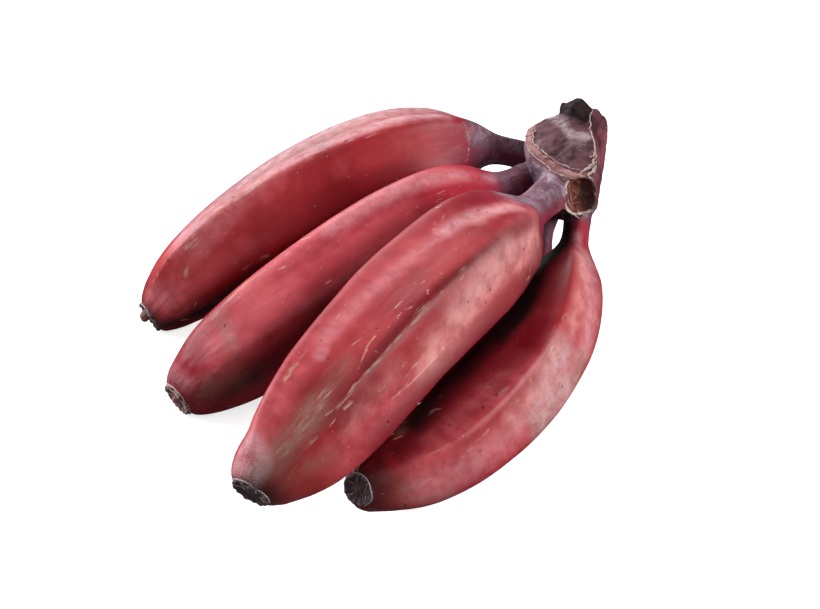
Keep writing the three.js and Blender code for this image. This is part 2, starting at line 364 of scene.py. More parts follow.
@dataclass(frozen=True)
class Stroke:
    """A brush stroke on a finger.

    Attributes:
        mark: what it lays down.
        path: points as (share of the length, degrees round from the top).
        width: half-width in millimetres.
        strength: how much it lays down at its middle.
    """

    mark: Mark
    path: Pairs
    width: float
    strength: float = 1.0

    def cover(self, share: Array, angle: Array, length: float, girth: Array) -> Array:
        """Return how much of the mark each vertex takes.

        Args:
            share: each vertex's share of the finger's length.
            angle: its angle round the finger in degrees.
            length: the finger's length in millimetres.
            girth: the finger's half-width there in millimetres.
        Returns:
            Numbers between 0 and strength.
        """
        nearest = np.full(len(share), np.inf)
        points = self.path if len(self.path) > 1 else self.path * 2
        for (share_a, angle_a), (share_b, angle_b) in zip(points, points[1:]):
            px, py = (share - share_a) * length, np.radians(wrapped(angle - angle_a)) * girth
            bx, by = (share_b - share_a) * length, np.radians(wrapped(angle_b - angle_a)) * girth
            along = np.clip((px * bx + py * by) / np.maximum(bx * bx + by * by, 1e-6), 0, 1)
            nearest = np.minimum(nearest, np.hypot(px - along * bx, py - along * by))
        if self.mark in (Mark.HAIR, Mark.SPOT):
            return self.strength * np.clip(1.0 - nearest / self.width, 0.0, 1.0)
        if self.mark is Mark.SCURF:
            return self.strength * (1.0 - smooth(*(edge * self.width for edge in SCURF_EDGE), nearest))
        return self.strength * (1.0 - smooth(0.0, SOFT_REACH * self.width, nearest))


def strokes_of(table: dict[Mark, tuple[tuple, ...]]) -> tuple[Stroke, ...]:
    """Return the strokes of a table: rows of half-width, strength and points under each mark."""
    return tuple(Stroke(mark, tuple(path), width, strength)
                 for mark, rows in table.items() for width, strength, *path in rows)


# ---- fingers

@dataclass
class Finger:
    """One banana with its neck.

    Attributes:
        number: which finger it is.
        root: where the neck leaves the crown, from the crown's own axes.
        heading: degrees from +X towards +Y at the root and at the tip.
        pitch: degrees above level at the root and at the tip.
        length: along the curve.
        radius: largest half-width.
        bend: where the curving is strongest (+ near the root, - near the tip).
        ridge: (share, degrees from straight up) of the ridge nearest the front, along the finger.
        scar: heading and pitch that the blossom scar faces.
        neck: extra share of the length for the neck.
        neck_width: how much thicker the neck is than the usual one.
        crisp: how sharp the ridges are, 4 for rounded and 14 for keen.
        hollow: how far the flats between ridges sink in, as a share of the half-width.
        sway_middle: shift of the middle in millimetres, (to the right, away) as seen from the front.
        sway_tip: the same at the tip.
        sway_neck: the same at the neck.
        plum: share of the length where the mauve skin of the neck ends, how much further it runs on
            one side, and that side's angle.
        lilac: how much pale lilac wax lies on the neck; it is laid on the neck's upper side, so that it is
            partly a painted highlight.
        pared: how much flatter one flank is in millimetres, and that flank's angle.
        strokes: marks on the peel.
        sides: corners of the blank's cross-section.
        rings: how many cross-sections the blank has.
        detail: how many times the blank is subdivided.
    """

    number: int
    root: Triple
    heading: Pair
    pitch: Pair
    length: float
    radius: float
    bend: float
    ridge: Pairs
    scar: Pair
    neck: float = 0.0
    neck_width: float = 1.1
    crisp: float = 8.0
    hollow: float = 0.01
    sway_middle: Pair = (0.0, 0.0)
    sway_tip: Pair = (0.0, 0.0)
    sway_neck: Pair = (0.0, 0.0)
    plum: Triple = (0.2, 0.0, 0.0)
    lilac: float = 0.35
    pared: Pair = (0.0, 0.0)
    strokes: tuple[Stroke, ...] = ()
    sides: int = 32
    rings: int = 36
    detail: int = 3
    path: Array = field(init=False)

    def __post_init__(self) -> None:
        """Lay out the middle line."""
        steps = (np.arange(SPINE_STEPS) + 0.5) / SPINE_STEPS
        moves = self.direction(steps) * self.length / SPINE_STEPS
        start = np.array(self.root) + HAND_SHIFT
        self.path = np.vstack([start, start + np.cumsum(moves, axis=0)])

    def direction(self, share: Array) -> Array:
        """Return the unit direction of the middle line at each place along it.

        Args:
            share: places along the finger, 0 to 1.
        Returns:
            One row for each place.
        """
        turned = share + self.bend * share * (1 - share)
        return heading_pitch(self.heading[0] + (self.heading[1] - self.heading[0]) * turned,
                             self.pitch[0] + (self.pitch[1] - self.pitch[0]) * turned)

    def centre(self, share: Array) -> Array:
        """Return points of the middle line; beyond the ends it runs on straight.

        Args:
            share: places along the finger, 0 to 1.
        Returns:
            Points in millimetres, one row each.
        """
        inside = np.clip(share, 0.0, 1.0)
        places = np.linspace(0.0, 1.0, SPINE_STEPS + 1)
        points = np.stack([np.interp(inside, places, self.path[:, axis]) for axis in range(3)], axis=-1)
        tip, middle = smooth(0.4, 1.0, share)[:, None], np.sin(math.pi * inside)[:, None]
        shift = np.array(self.sway_middle) * middle + np.array(self.sway_tip) * tip
        shift += np.array(self.sway_neck) * smooth(0.3, 0.0, share)[:, None]
        points += shift[:, :1] * TO_THE_RIGHT + shift[:, 1:] * AWAY
        return points + (share - inside)[:, None] * self.length * self.direction(inside)

    def axes(self, share: Array) -> tuple[Array, Array]:
        """Return the two directions of the cross-section at each place: tall, then wide.

        Args:
            share: places along the finger, 0 to 1.
        Returns:
            Both directions, one row for each place.
        """
        along = self.direction(np.clip(share, 0.0, 1.0))
        turn = smooth(TIP_TURN_START, 1.0, share)[:, None]
        facing = unit(along * (1 - turn) + heading_pitch(*self.scar) * turn)
        tall = unit(UP - facing * (facing @ UP)[:, None])
        return tall, np.cross(facing, tall)

    def half_width(self, share: Array) -> Array:
        """Return the finger's mean half-width in millimetres at each place."""
        thicker = 1.0 + (self.neck_width - 1.0) * smooth(0.19, 0.07, share - self.neck)
        return self.radius * girth_at((share - self.neck) / (1 - self.neck)) * thicker

    def ridge_angle(self, share: Array) -> Array:
        """Return the angle of the ridge nearest the front at each place, in degrees."""
        return np.interp(share, *zip(*self.ridge))

    def section(self, share: Array, angle: Array) -> Array:
        """Return how far the five-sided cross-section stands from round, as a factor.

        Args:
            share: places along the finger.
            angle: angles round it in degrees.
        Returns:
            About 1, more at a ridge and less on a flat between ridges.
        """
        angle = angle - self.ridge_angle(share)
        sharpness = self.crisp + (ROUNDING_TIP - self.crisp) * smooth(0.84, 1.0, share)
        sharpness = sharpness + (ROUNDING_NECK - sharpness) * smooth(0.2, 0.08, share - self.neck)
        total = np.zeros(len(share))
        for flat in range(RIDGES):
            wander = 4.0 * math.sin(2.4 * flat + 1.7 * self.number)
            facing = wander + (flat + 0.5) * 360.0 / RIDGES
            total += np.maximum(np.cos(np.radians(angle - facing)), 1e-3) ** sharpness
        mean = 1.0 + 0.32 / sharpness
        sunk = self.hollow * (0.5 - 0.5 * np.cos(np.radians(RIDGES * angle))) * smooth(0.95, 0.8, share)
        return total ** (-1.0 / sharpness) / mean * (1.0 - sunk + 0.5 * self.hollow)

    def build(self) -> Piece:
        """Model the finger and return it, with its marks stored on it.

        Returns:
            The peel, a closed mesh.
        """
        shares = ring_shares(self.rings)
        piece = straight_blank(
            f"finger_{self.number}_peel", self.sides, shares * self.length, self.half_width(shares))
        apply_modifier(piece, "SUBSURF", levels=self.detail, render_levels=self.detail)
        straight = coordinates(piece)
        share = straight[:, 2] / self.length
        reach, angle = polar(straight)
        turn = np.radians(angle)
        girth = self.half_width(share)
        unrolled = np.stack([girth * np.cos(turn), girth * np.sin(turn), straight[:, 2]], axis=-1)
        skin = self.surface(share, unrolled) * smooth(0, 4, reach)
        reach = reach * SMOOTHING_LOSS * self.section(share, angle) + skin - self.flattened(share, angle)
        self.paint(piece, share, angle, unrolled)
        tall, wide = self.axes(share)
        outwards = tall * np.cos(turn)[:, None] + wide * np.sin(turn)[:, None]
        placed = self.centre(share) + reach[:, None] * outwards
        placed[:, 2] = np.maximum(placed[:, 2], 0.0)
        cap = smooth(0.85, 0.6, reach / self.half_width(np.ones(1))[0]) * (share > 0.96)
        placed -= TIP_SEAT * cap[:, None] * np.cross(tall, wide)
        move_vertices(piece, placed)
        polish(piece)
        return piece

    def flattened(self, share: Array, angle: Array) -> Array:
        """Return how much of the pared flank is taken off in millimetres, within 60 degrees of it.

        Args:
            share: places along the finger, 0 to 1.
            angle: angles round it in degrees.
        Returns:
            Depths in millimetres.
        """
        depth, facing = self.pared
        apart = np.clip(1.5 * wrapped(angle - facing), -90.0, 90.0)
        belly = smooth(0.16, 0.3, share) * smooth(0.86, 0.6, share)
        return depth * np.cos(np.radians(apart)) ** 2 * belly

    def surface(self, share: Array, unrolled: Array) -> Array:
        """Return how far the skin stands out in millimetres: soft lumps, and wrinkles at the ends.

        Args:
            share: places along the finger, 0 to 1.
            unrolled: places on the straight finger in millimetres.
        Returns:
            Heights in millimetres.
        """
        squeezed = unrolled * np.array([1.0, 1.0, FIBRE_SQUEEZE])
        ends = smooth(0.24, 0.08, share) + smooth(0.9, 0.99, share)
        lumps = LUMP_HEIGHT * rough(unrolled, LUMP_SIZE, 2, 3.1 * self.number)
        fibres = rough(squeezed, FIBRE_SIZE, 2, 7.7 * self.number) * (FIBRE_HEIGHT + FIBRE_END_HEIGHT * ends)
        return lumps * smooth(0.0, 0.2, share) + fibres

    def paint(self, piece: Piece, share: Array, angle: Array, unrolled: Array) -> None:
        """Store the marks on the peel.

        Args:
            piece: the finger's mesh.
            share: each vertex's share of the length.
            angle: its angle round the finger in degrees.
            unrolled: its place on the straight finger in millimetres.
        """
        girth = self.half_width(share)
        store(piece, "straight", unrolled * MM)
        # Pale lilac wax on the neck, strongest on its upper side: partly a painted highlight.
        store(piece, "lilac", self.lilac * smooth(-0.1, 0.8, np.cos(np.radians(angle - 10.0))))
        edge = 0.012 * rough(unrolled, 9.0, 2, 5.0 + self.number)
        neck_end = self.plum[0] + self.plum[1] * np.cos(np.radians(angle - self.plum[2])) - edge
        store(piece, "wine", smooth(0.13, -0.02, share - neck_end))
        store(piece, "tip", smooth(0.9, 0.985, share))
        strokes = self.strokes + self.flecks()
        grown = {Mark.PLUM: smooth(0.05, -0.05, share - neck_end),
                 Mark.SCURF: self.ridge_scurf(share, angle, unrolled),
                 Mark.DARK_AND_SHADE: 0.8 * smooth(0.988, 1.0, share)}
        for mark in Mark:
            covers = [stroke.cover(share, angle, self.length, girth)
                      for stroke in strokes if stroke.mark is mark]
            store(piece, mark.value, np.maximum.reduce([grown.get(mark, np.zeros(len(share))), *covers]))

    def flecks(self) -> tuple[Stroke, ...]:
        """Scatter short, pale flecks in clusters, most of them near a ridge.

        Returns:
            The flecks as short strokes.
        """
        chance = np.random.default_rng(100 + self.number)
        found = []
        for _ in range(FLECK_CLUSTERS):
            share = chance.uniform(0.25, 0.96)
            ridge = self.ridge_angle(share) + 360.0 / RIDGES * chance.integers(0, RIDGES)
            middle = ridge + chance.normal(0.0, 16.0)
            for _ in range(chance.integers(2, 9)):
                place = share + chance.normal(0.0, 0.022)
                angle = middle + chance.normal(0.0, 9.0)
                length, slant = chance.uniform(1.0, 4.0) / self.length, chance.normal(0.0, 3.5)
                found.append(Stroke(Mark.HAIR, ((place, angle), (place + length, angle + slant)),
                                    chance.uniform(0.7, 1.05), chance.uniform(0.75, 1.0)))
        return tuple(found)

    def ridge_scurf(self, share: Array, angle: Array, unrolled: Array) -> Array:
        """Return the rubbed, corky marks that every ridge has here and there.

        Args:
            share: places along the finger, 0 to 1.
            angle: angles round it in degrees.
            unrolled: places on the straight finger in millimetres.
        Returns:
            Cover from 0 to 1.
        """
        from_ridge = RIDGES * (angle - self.ridge_angle(share))
        crest = smooth(0.9, 1.0, np.cos(np.radians(from_ridge)))
        patches = smooth(0.12, 0.4, rough(unrolled, 15.0, 2, 11.0 + self.number))
        return 0.55 * crest * patches * smooth(0.25, 0.35, share)


@dataclass
class Scar:
    """A round, dried scar with a raised, ragged rim and pale threads lying on it.

    Attributes:
        name: the piece's name.
        centre: its middle in millimetres.
        tall: the direction of its height, in its own plane.
        wide: the direction of its width.
        half: half its height and half its width.
        profile: (share of the half-width, height), from behind the rim inwards.
        threads: threads as (thickness, points), each point (share of the half-width, degrees from tall).
        folds: how many wrinkles run from the rim to the middle.
        ragged: how uneven the surface is in millimetres.
        knob: (length, thickness, share of the half-width, degrees from tall) of a stub left on it.
        sides: corners of the blank.
        seed: moves the patterns.
        square: 2 for an oval outline, more for a squarer one.
        wrinkle: height of the wrinkles in millimetres.
    """

    name: str
    centre: Array
    tall: Array
    wide: Array
    half: Pair
    profile: Pairs
    threads: tuple[tuple[float, Pairs], ...] = ()
    folds: int = 13
    ragged: float = 0.3
    knob: tuple[float, float, float, float] | None = None
    sides: int = 40
    seed: float = 1.0
    square: float = 2.0
    wrinkle: float = 0.16

    def place(self, share: Array, degrees: Array, height: Array) -> Array:
        """Return positions in the hand from polar places on the scar.

        Args:
            share: shares of the half-width.
            degrees: angles from the height.
            height: how far out, in millimetres.
        Returns:
            Points in millimetres, one row each.
        """
        turn = np.radians(degrees)
        power = self.square
        share = share * (np.abs(np.cos(turn)) ** power + np.abs(np.sin(turn)) ** power) ** (-1 / power)
        across = (share * np.cos(turn) * self.half[0])[:, None] * self.tall
        across = across + (share * np.sin(turn) * self.half[1])[:, None] * self.wide
        return self.centre + across + height[:, None] * np.cross(self.tall, self.wide)

    def build(self) -> Piece:
        """Model the scar with its threads and its knob, and return it.

        Returns:
            The scar, one mesh.
        """
        size = max(self.half)
        heights = np.array([height for _, height in self.profile])
        widths = np.array([share for share, _ in self.profile])
        piece = straight_blank(self.name, self.sides, heights, widths * size)
        apply_modifier(piece, "SUBSURF", levels=2, render_levels=2)
        points = coordinates(piece)
        share, degrees = polar(points)
        share /= size
        wrinkles = np.sin(np.radians(degrees) * self.folds + 2.0 * rough(points, 3.0, 1, self.seed))
        height = points[:, 2] + self.wrinkle * wrinkles * smooth(0.1, 0.7, share)
        height += self.ragged * rough(points, 2.2, 2, 4.0 + self.seed) * smooth(-1.2, 0.8, points[:, 2])
        height += self.ragged * rough(points, 5.0, 2, 8.0 + self.seed) * smooth(0.8, 1.0, share)
        self.mark(piece, 0.0, share, 0.5 - 0.5 * share * np.sin(np.radians(degrees)))
        share = share * (1 + (0.02 + 0.05 * self.ragged) * rough(points, 4.0, 2, 9.0 + self.seed))
        placed = self.place(share, degrees, height)
        placed[:, 2] = np.maximum(placed[:, 2], 0.0)
        move_vertices(piece, placed)
        parts = [piece] + [self.thread(index) for index in range(len(self.threads))]
        if self.knob:
            parts.append(self.stub(*self.knob))
        piece = join(parts, self.name)
        polish(piece)
        return piece

    def thread(self, index: int) -> Piece:
        """Lay one thread along the scar.

        Args:
            index: which of the threads.
        Returns:
            The thread, a closed mesh.
        """
        thickness, corners = self.threads[index]
        steps, path = resample(corners, 9)
        share, degrees = path.T
        wander = drift(3.0 * steps, 4.0, self.seed + index)
        front = np.array(sorted(self.profile[2:]))
        height = np.interp(share, front[:, 0], front[:, 1]) + 0.5 * thickness + 0.12 * wander
        points = self.place(share + 0.05 * wander, degrees + 5.0 * wander, height)
        points[:, 2] = np.maximum(points[:, 2], thickness)
        radii = thickness * (0.35 + 0.65 * np.sin(math.pi * np.linspace(0.04, 0.96, len(points))))
        piece = tube(f"{self.name}_thread", points, radii, 1)
        self.mark(piece, 1.0)
        return piece

    def stub(self, length: float, thickness: float, share: float, degrees: float) -> Piece:
        """Leave a withered stub standing on the scar.

        Args:
            length: how far it stands out.
            thickness: its half-width.
            share: its foot's share of the scar's half-width.
            degrees: its foot's angle from the height.
        Returns:
            The stub, a closed mesh.
        """
        t = np.linspace(0, 1, 12)
        foot = self.place(np.array([share]), np.array([degrees]), np.array([-1.0]))[0]
        lean = np.cross(self.tall, self.wide) - 0.15 * UP
        points = foot + np.outer(t * (length + 1.0), lean)
        points += 0.25 * thickness * np.sin(5.0 * t)[:, None] * self.tall
        points[:, 2] = np.maximum(points[:, 2], thickness)
        radii = thickness * (1.0 - 0.35 * t) * np.sqrt(np.clip(1.02 - t**6, 0, 1))
        piece = tube(f"{self.name}_knob", points, radii * (1 + 0.12 * np.sin(9 * t + self.seed)), 6)
        self.mark(piece, 0.5)
        return piece

    def mark(self, piece: Piece, added: float, share: Array | float = 0.5,
             side: Array | float = 0.5) -> None:
        """Store on a part what the finish needs.

        Args:
            piece: the scar or a part added to it.
            added: 0 for the scar, 1 for a thread and 0.5 for a knob.
            share: places from the middle (0) to the rim (1).
            side: places from one side (0) to the other (1).
        """
        points = coordinates(piece)
        for name, values in (("middle", share), ("side", side), ("thread", added)):
            store(piece, name, np.full(len(points), values))
        store(piece, "straight", points * MM)


def blossom_end(finger: Finger) -> Scar:
    """Return the dried scar at the tip of a finger.

    Args:
        finger: the finger that it dries on.
    Returns:
        The scar, not yet built.
    """
    tip = np.ones(1)
    tall, wide = finger.axes(tip)
    half = finger.half_width(tip)[0]
    threads, ragged, knob = END_DETAILS[finger.number]
    return Scar(f"blossom_end_{finger.number}_scar", finger.centre(tip)[0], tall[0], wide[0], (half, half),
                END_PROFILE, threads, ragged=ragged, knob=knob, seed=float(finger.number))


# ---- crown

@dataclass(frozen=True)
class CrownAxes:
    """The crown's own axes: along its length, across it and up.

    Attributes:
        centre: where they cross, seen from above.
        heading: degrees from +X towards +Y of the length.
    """

    centre: Pair = (-5.0, 87.5)
    heading: float = 135.0

    @property
    def along(self) -> Array:
        """Return the direction of the crown's length."""
        return heading_pitch(self.heading, 0.0)

    @property
    def across(self) -> Array:
        """Return the direction across the crown."""
        return heading_pitch(self.heading - 90.0, 0.0)

    @property
    def origin(self) -> Array:
        """Return the crossing point, on the table."""
        return np.array([*self.centre, 0.0]) + HAND_SHIFT

    def place(self, local: Array) -> Array:
        """Turn (along, across, height) into positions in the hand.

        Args:
            local: one or more points.
        Returns:
            Points in millimetres.
        """
        local = np.asarray(local, dtype=float)
        return (self.origin + local[..., 0:1] * self.along + local[..., 1:2] * self.across
                + local[..., 2:3] * UP)

    def local(self, points: Array) -> Array:
        """Turn positions in the hand into (along, across, height)."""
        offset = points - self.origin
        return np.stack([offset @ self.along, offset @ self.across, offset[:, 2]], axis=-1)


def closed_curve(corners: Iterable[Pair], count: int) -> Array:
    """Return points of a smooth closed curve through corners, evenly spaced by corner.

    Args:
        corners: points in a plane, in order.
        count: how many points to return.
    Returns:
        One row of two numbers for each point.
    """
    knots = np.array(list(corners), dtype=float)
    place = np.arange(count) * len(knots) / count
    index = np.floor(place).astype(int)
    t = (place - index)[:, None]
    p0, p1, p2, p3 = (knots[(index + step) % len(knots)] for step in (-1, 0, 1, 2))
    return 0.5 * (2 * p1 + (p2 - p0) * t + (2 * p0 - 5 * p1 + 4 * p2 - p3) * t**2
                  + (3 * p1 - p0 - 3 * p2 + p3) * t**3)


def to_segment(points: Array, start: Array, end: Array) -> Array:
    """Return each point's distance to the straight piece from start to end.

    Args:
        points: one row each, in a plane or in space.
        start: one end.
        end: the other end.
    Returns:
        One distance for each point.
    """
    run = end - start
    along = np.clip((points - start) @ run / (run @ run), 0.0, 1.0)
    return np.linalg.norm(points - start - along[:, None] * run, axis=1)


def distance_to_loop(points: Array, loop: Array) -> Array:
    """Return how far points lie outside a closed loop in a plane; inside it is negative.

    Args:
        points: one row of two numbers each.
        loop: the loop's corners in order.
    Returns:
        One signed distance for each point.
    """
    nearest = np.full(len(points), np.inf)
    inside = np.zeros(len(points), dtype=bool)
    for start, end in zip(loop, np.roll(loop, -1, axis=0)):
        nearest = np.minimum(nearest, to_segment(points, start, end))
        crosses = (start[1] > points[:, 1]) != (end[1] > points[:, 1])
        run = end - start
        rise = run[1] if abs(run[1]) > 1e-9 else 1e-9
        inside ^= crosses & (points[:, 0] < start[0] + run[0] * (points[:, 1] - start[1]) / rise)
    return np.where(inside, -nearest, nearest)


def tube(name: str, points: Array, radii: Iterable[float], sides: int = 6) -> Piece:
    """Draw a curve, give it a round thickness and turn it into a mesh.

    Args:
        name: the object's name.
        points: positions in millimetres, one row each.
        radii: half-thickness at each point in millimetres.
        sides: how round it is: half its corners, less two.
    Returns:
        The closed mesh.
    """
    curve = bpy.data.curves.new(name, "CURVE")
    curve.dimensions = "3D"
    curve.bevel_depth = MM
    curve.bevel_resolution = sides
    curve.use_fill_caps = True
    spline = curve.splines.new("POLY")
    spline.points.add(len(points) - 1)
    for point, place, radius in zip(spline.points, points, radii):
        point.co = (*(place * MM), 1.0)
        point.radius = radius
    piece = bpy.data.objects.new(name, curve)
    bpy.context.scene.collection.objects.link(piece)
    activate(piece)
    bpy.ops.object.convert(target="MESH")
    return bpy.context.object


@dataclass
class Crown:
    """The woody pad that the fingers grow from, with its cut face, stub, fin and torn socket.

    Attributes:
        fingers: the fingers whose necks it holds.
        axes: the crown's own axes.
        face: corners of the cut face as (along, across).
        face_middle: the point that the layers below it grow or shrink about.
        layers: (height, size along, size across, shift along, shift across) of the pad below it.
        core_height: height of the pad's core, which the collars run towards.
        lumps: name of each lump, with what the method lump takes.
        stub_edge: (across, height) of the line where the black of the stub begins.
        streak: corners of the pale streak over the cut face.
        socket_centre: middle of the torn socket.
        socket_half: half its height and half its width.
        socket_depth: how far the skin is sunk behind it.
        bulge: how far the cut face swells towards its middle.
        uneven: height of its broad lumps.
        pitted: height of its small lumps.
        rim_height: how far the bark rim stands up.
        voxel: finest detail of the body.
    """

    fingers: tuple[Finger, ...]
    axes: CrownAxes = CrownAxes()
    face: Pairs = (
        (16, 0), (12.3, -5.9), (8.4, -10.6), (4.2, -14.2), (-5, -15.1), (-13, -13.6), (-19, -10),
        (-25, -5.5), (-29, -1.5), (-30.4, 3.5), (-27.5, 8.6), (-19, 10.6), (-9, 10.8), (0, 10.2),
        (9, 9.4), (15.5, 6.5))
    face_middle: Pair = (-7.0, -2.0)
    layers: tuple[tuple[float, float, float, float, float], ...] = (
        (24, 0.47, 0.5, 8, -0.5), (29, 0.8, 0.78, 8, 0), (36, 1.0, 0.92, 6, 0.8), (42, 1.03, 1.0, 3, 1.0),
        (48, 1.02, 1.08, 1, 1.0), (53, 1.02, 1.06, 0, 0.5), (56.5, 0.97, 0.96, 0, 0))
    core_height: float = 42.0
    lumps: tuple[tuple[str, tuple[object, ...]], ...] = (
        ("stub_root", ((10, 4.4, 46, 9, 7.6), (14.3, 5.0, 62.4, 4.6, 5.8))),
        ("stub_knob", ((13, 2.0, 52, 3.5, 3.5), (15.6, 0.0, 60.4, 2.2, 2.0))),
        ("flange", ((8, 7, 40, 10, 6), (10.6, 11.2, 59.4, 5.4, 3.9), 0.5)),
        ("fin", ((2, 8.5, 38, 13, 5.5), (7.8, 14.6, 58.0, 5.2, 2.2), 0.5)),
        ("shoulder", ((-22, -4.0, 44, 7, 5), (-22, -5.0, 53.0, 6, 5), 0.7)),
        ("socket_block", ((-22, 4.2, 38, 6, 6), (-24.5, 4.4, 56, 7.5, 7.0), 0.6)),
    )
    stub_edge: Pairs = (
        (-4, 55.6), (-1.9, 54.2), (1.6, 51.6), (6, 50.2), (8.2, 49.9), (9.5, 50.5))
    streak: Pairs = ((13.5, -6), (4, -1), (-4.5, 2), (-2.6, 7))
    socket_centre: Triple = (-30.6, 3.9, 49.0)
    socket_half: Pair = (7.0, 5.7)
    socket_depth: float = 4.5
    bulge: float = 1.9
    uneven: float = 0.8
    pitted: float = 0.35
    rim_height: float = 0.5
    voxel: float = 0.46

    @property
    def socket_axes(self) -> tuple[Array, Array, Array]:
        """Return where the torn socket faces, its height and its width direction.

        Returns:
            Three directions of length one.
        """
        facing = unit(-self.axes.along * 0.93 + self.axes.across * 0.12 + 0.36 * UP)
        tall = unit(UP - facing * facing[2])
        return facing, tall, np.cross(facing, tall)

    def ring(self, height: float, size_along: float, size_across: float, shift_along: float,
             shift_across: float, count: int) -> Array:
        """Return one cross-section of the pad as local points.

        Args:
            height: its height in millimetres.
            size_along: its size along the crown, 1 for that of the cut face.
            size_across: the same across.
            shift_along: how far it lies off along the crown.
            shift_across: the same across.
            count: how many points.
        Returns:
            Points of the ring, one row each.
        """
        middle = np.array(self.face_middle)
        flat = (closed_curve(self.face, count) - middle) * (size_along, size_across) + middle
        flat += (shift_along, shift_across)
        return np.column_stack([flat, np.full(count, height)])

    def pad(self) -> Piece:
        """Model the pad: a closed stack of cross-sections.

        Returns:
            The pad, a closed mesh.
        """
        count, blank_radius = 60, 10.0
        heights = np.array([layer[0] for layer in self.layers])
        piece = straight_blank("crown_pad", count, heights, np.full(len(heights), blank_radius))
        points = coordinates(piece)
        reach, degrees = polar(points)
        corner = np.round(degrees / 360.0 * count).astype(int) % count
        rings = [self.ring(*layer, count) for layer in self.layers]
        layer_of = np.array([np.argmin(np.abs(heights - z)) for z in points[:, 2]])
        placed = np.array([rings[layer][index] for layer, index in zip(layer_of, corner)])
        for index in np.flatnonzero(reach < 1.0):
            placed[index] = rings[layer_of[index]].mean(axis=0)
        move_vertices(piece, self.axes.place(placed))
        return piece

    def collar(self, finger: Finger) -> Piece:
        """Model the thickening that carries one neck into the pad.

        Args:
            finger: the finger whose neck it carries.
        Returns:
            The collar, a closed mesh.
        """
        root = np.zeros(1)
        start, back = finger.centre(root)[0], -finger.direction(root)[0]
        along = self.axes.local(start[None])[0][0] * 0.8
        core = self.axes.place(np.array([along, 0.0, 0.4 * start[2] + 0.6 * self.core_height]))
        bend = start + back * 7.0
        t = np.linspace(0, 1, 12)[:, None]
        inner = (1 - t) ** 2 * start + 2 * t * (1 - t) * bend + t**2 * core
        ahead = np.array([8.0, 5.5, 3.0, 1.2])
        outer = finger.centre(ahead / finger.length)
        neck = finger.half_width(root)[0]
        radii = neck * np.concatenate([[0.8, 0.93, 1.0, 1.04], 1.06 + 0.5 * t[:, 0]])
        return tube(f"collar_{finger.number}", np.vstack([outer, inner]), radii, 8)

    def lump(self, name: str, foot: tuple[float, ...], top: tuple[float, ...], round_top: float = 0.3
             ) -> Piece:
        """Model a leaning lump from its foot to its top.

        Args:
            name: the object's name.
            foot: (along, across, height, half-length, half-width) at the foot.
            top: the same at the top.
            round_top: how small its last cross-section is.
        Returns:
            The lump.
        """
        blank_size = 10.0
        shares = np.array([0, 0.4, 0.7, 0.88, 0.97, 1.0])
        piece = straight_blank(name, 20, shares * blank_size, np.full(len(shares), blank_size))
        points = coordinates(piece) / blank_size
        share = points[:, 2:3]
        values = np.array(foot) * (1 - share) + np.array(top) * share
        size = np.sqrt(1.0 + round_top**2 - share**5)
        local = values[:, :3].copy()
        local[:, :2] += values[:, 3:] * size * points[:, :2]
        move_vertices(piece, self.axes.place(local))
        return piece

    def body(self) -> Piece:
        """Grow the pad, the collars and the lumps into one skin.

        Returns:
            The crown before its relief.
        """
        pieces = [self.pad()] + [self.collar(finger) for finger in self.fingers]
        pieces += [self.lump(name, *sizes) for name, sizes in self.lumps]
        body = join(pieces, "crown_skin")
        face_outwards(body)
        apply_modifier(body, "REMESH", mode="VOXEL", voxel_size=self.voxel * MM, use_smooth_shade=True)
        apply_modifier(body, "SMOOTH", factor=0.5, iterations=14)
        return body

    def areas(self, local: Array, level: Array, outside: Array, wander: Array) -> tuple[Array, Array, Array]:
        """Return how much each point belongs to the cut face, the black stub and the bark rim.

        Args:
            local: (along, across, height) of each point.
            level: 1 where the skin looks straight up, 0 where it stands upright.
            outside: how far each point lies outside the cut face.
            wander: smooth noise that makes the borders uneven.
        Returns:
            Three sets of numbers from 0 to 1.
        """
        along, across, height = local.T
        face = smooth(0.6, -0.6, outside) * (smooth(0.35, 0.75, level) * smooth(50, 54, height))
        leaning = 0.588 * along + 0.809 * height + 0.6 * wander
        stub = smooth(-0.5, 0.5, leaning - np.interp(across, *zip(*self.stub_edge)))
        stub *= smooth(10.6, 9.4, across + 0.5 * wander) * smooth(50.0, 53.0, height)
        far_side = smooth(6.0, 3.0, along) * smooth(8.0, 4.0, across + 0.25 * (along + 30))
        rim = smooth(-3.1, -2.3, outside + 0.5 * wander) * smooth(0.9, 0.2, outside) * far_side
        return face, stub, rim * smooth(53.6, 54.8, height)

    def build(self) -> Piece:
        """Model the crown's skin, paint it and return it.

        Returns:
            The crown's skin.
        """
        body = self.body()
        points, normals = coordinates(body), normals_of(body)
        local = self.axes.local(points)
        outside = distance_to_loop(local[:, :2], closed_curve(self.face, 90))
        wander = rough(points, 6.0, 2, 4.0)
        face, stub, rim = self.areas(local, normals[:, 2], outside, wander)
        lift = self.bulge * smooth(0, -10, outside) * face
        lift += self.uneven * wander * smooth(0, -4, outside) * face
        lift += self.rim_height * rim + self.pitted * rough(points, 2.4, 3, 2.0) * face * (1 - stub)
        skin = 0.3 * rough(points, 5.0, 2, 6.0) + 0.12 * rough(points, 1.6, 2, 8.0)
        skin += 0.5 * rough(points, 3.2, 3, 12.0) * stub
        points[:, 2] += lift
        points += normals * skin[:, None]
        move_vertices(body, self.hollow_socket(points))
        store(body, "face", face)
        store(body, "rim", rim)
        self.paint(body, local, outside, stub)
        polish(body)
        return body

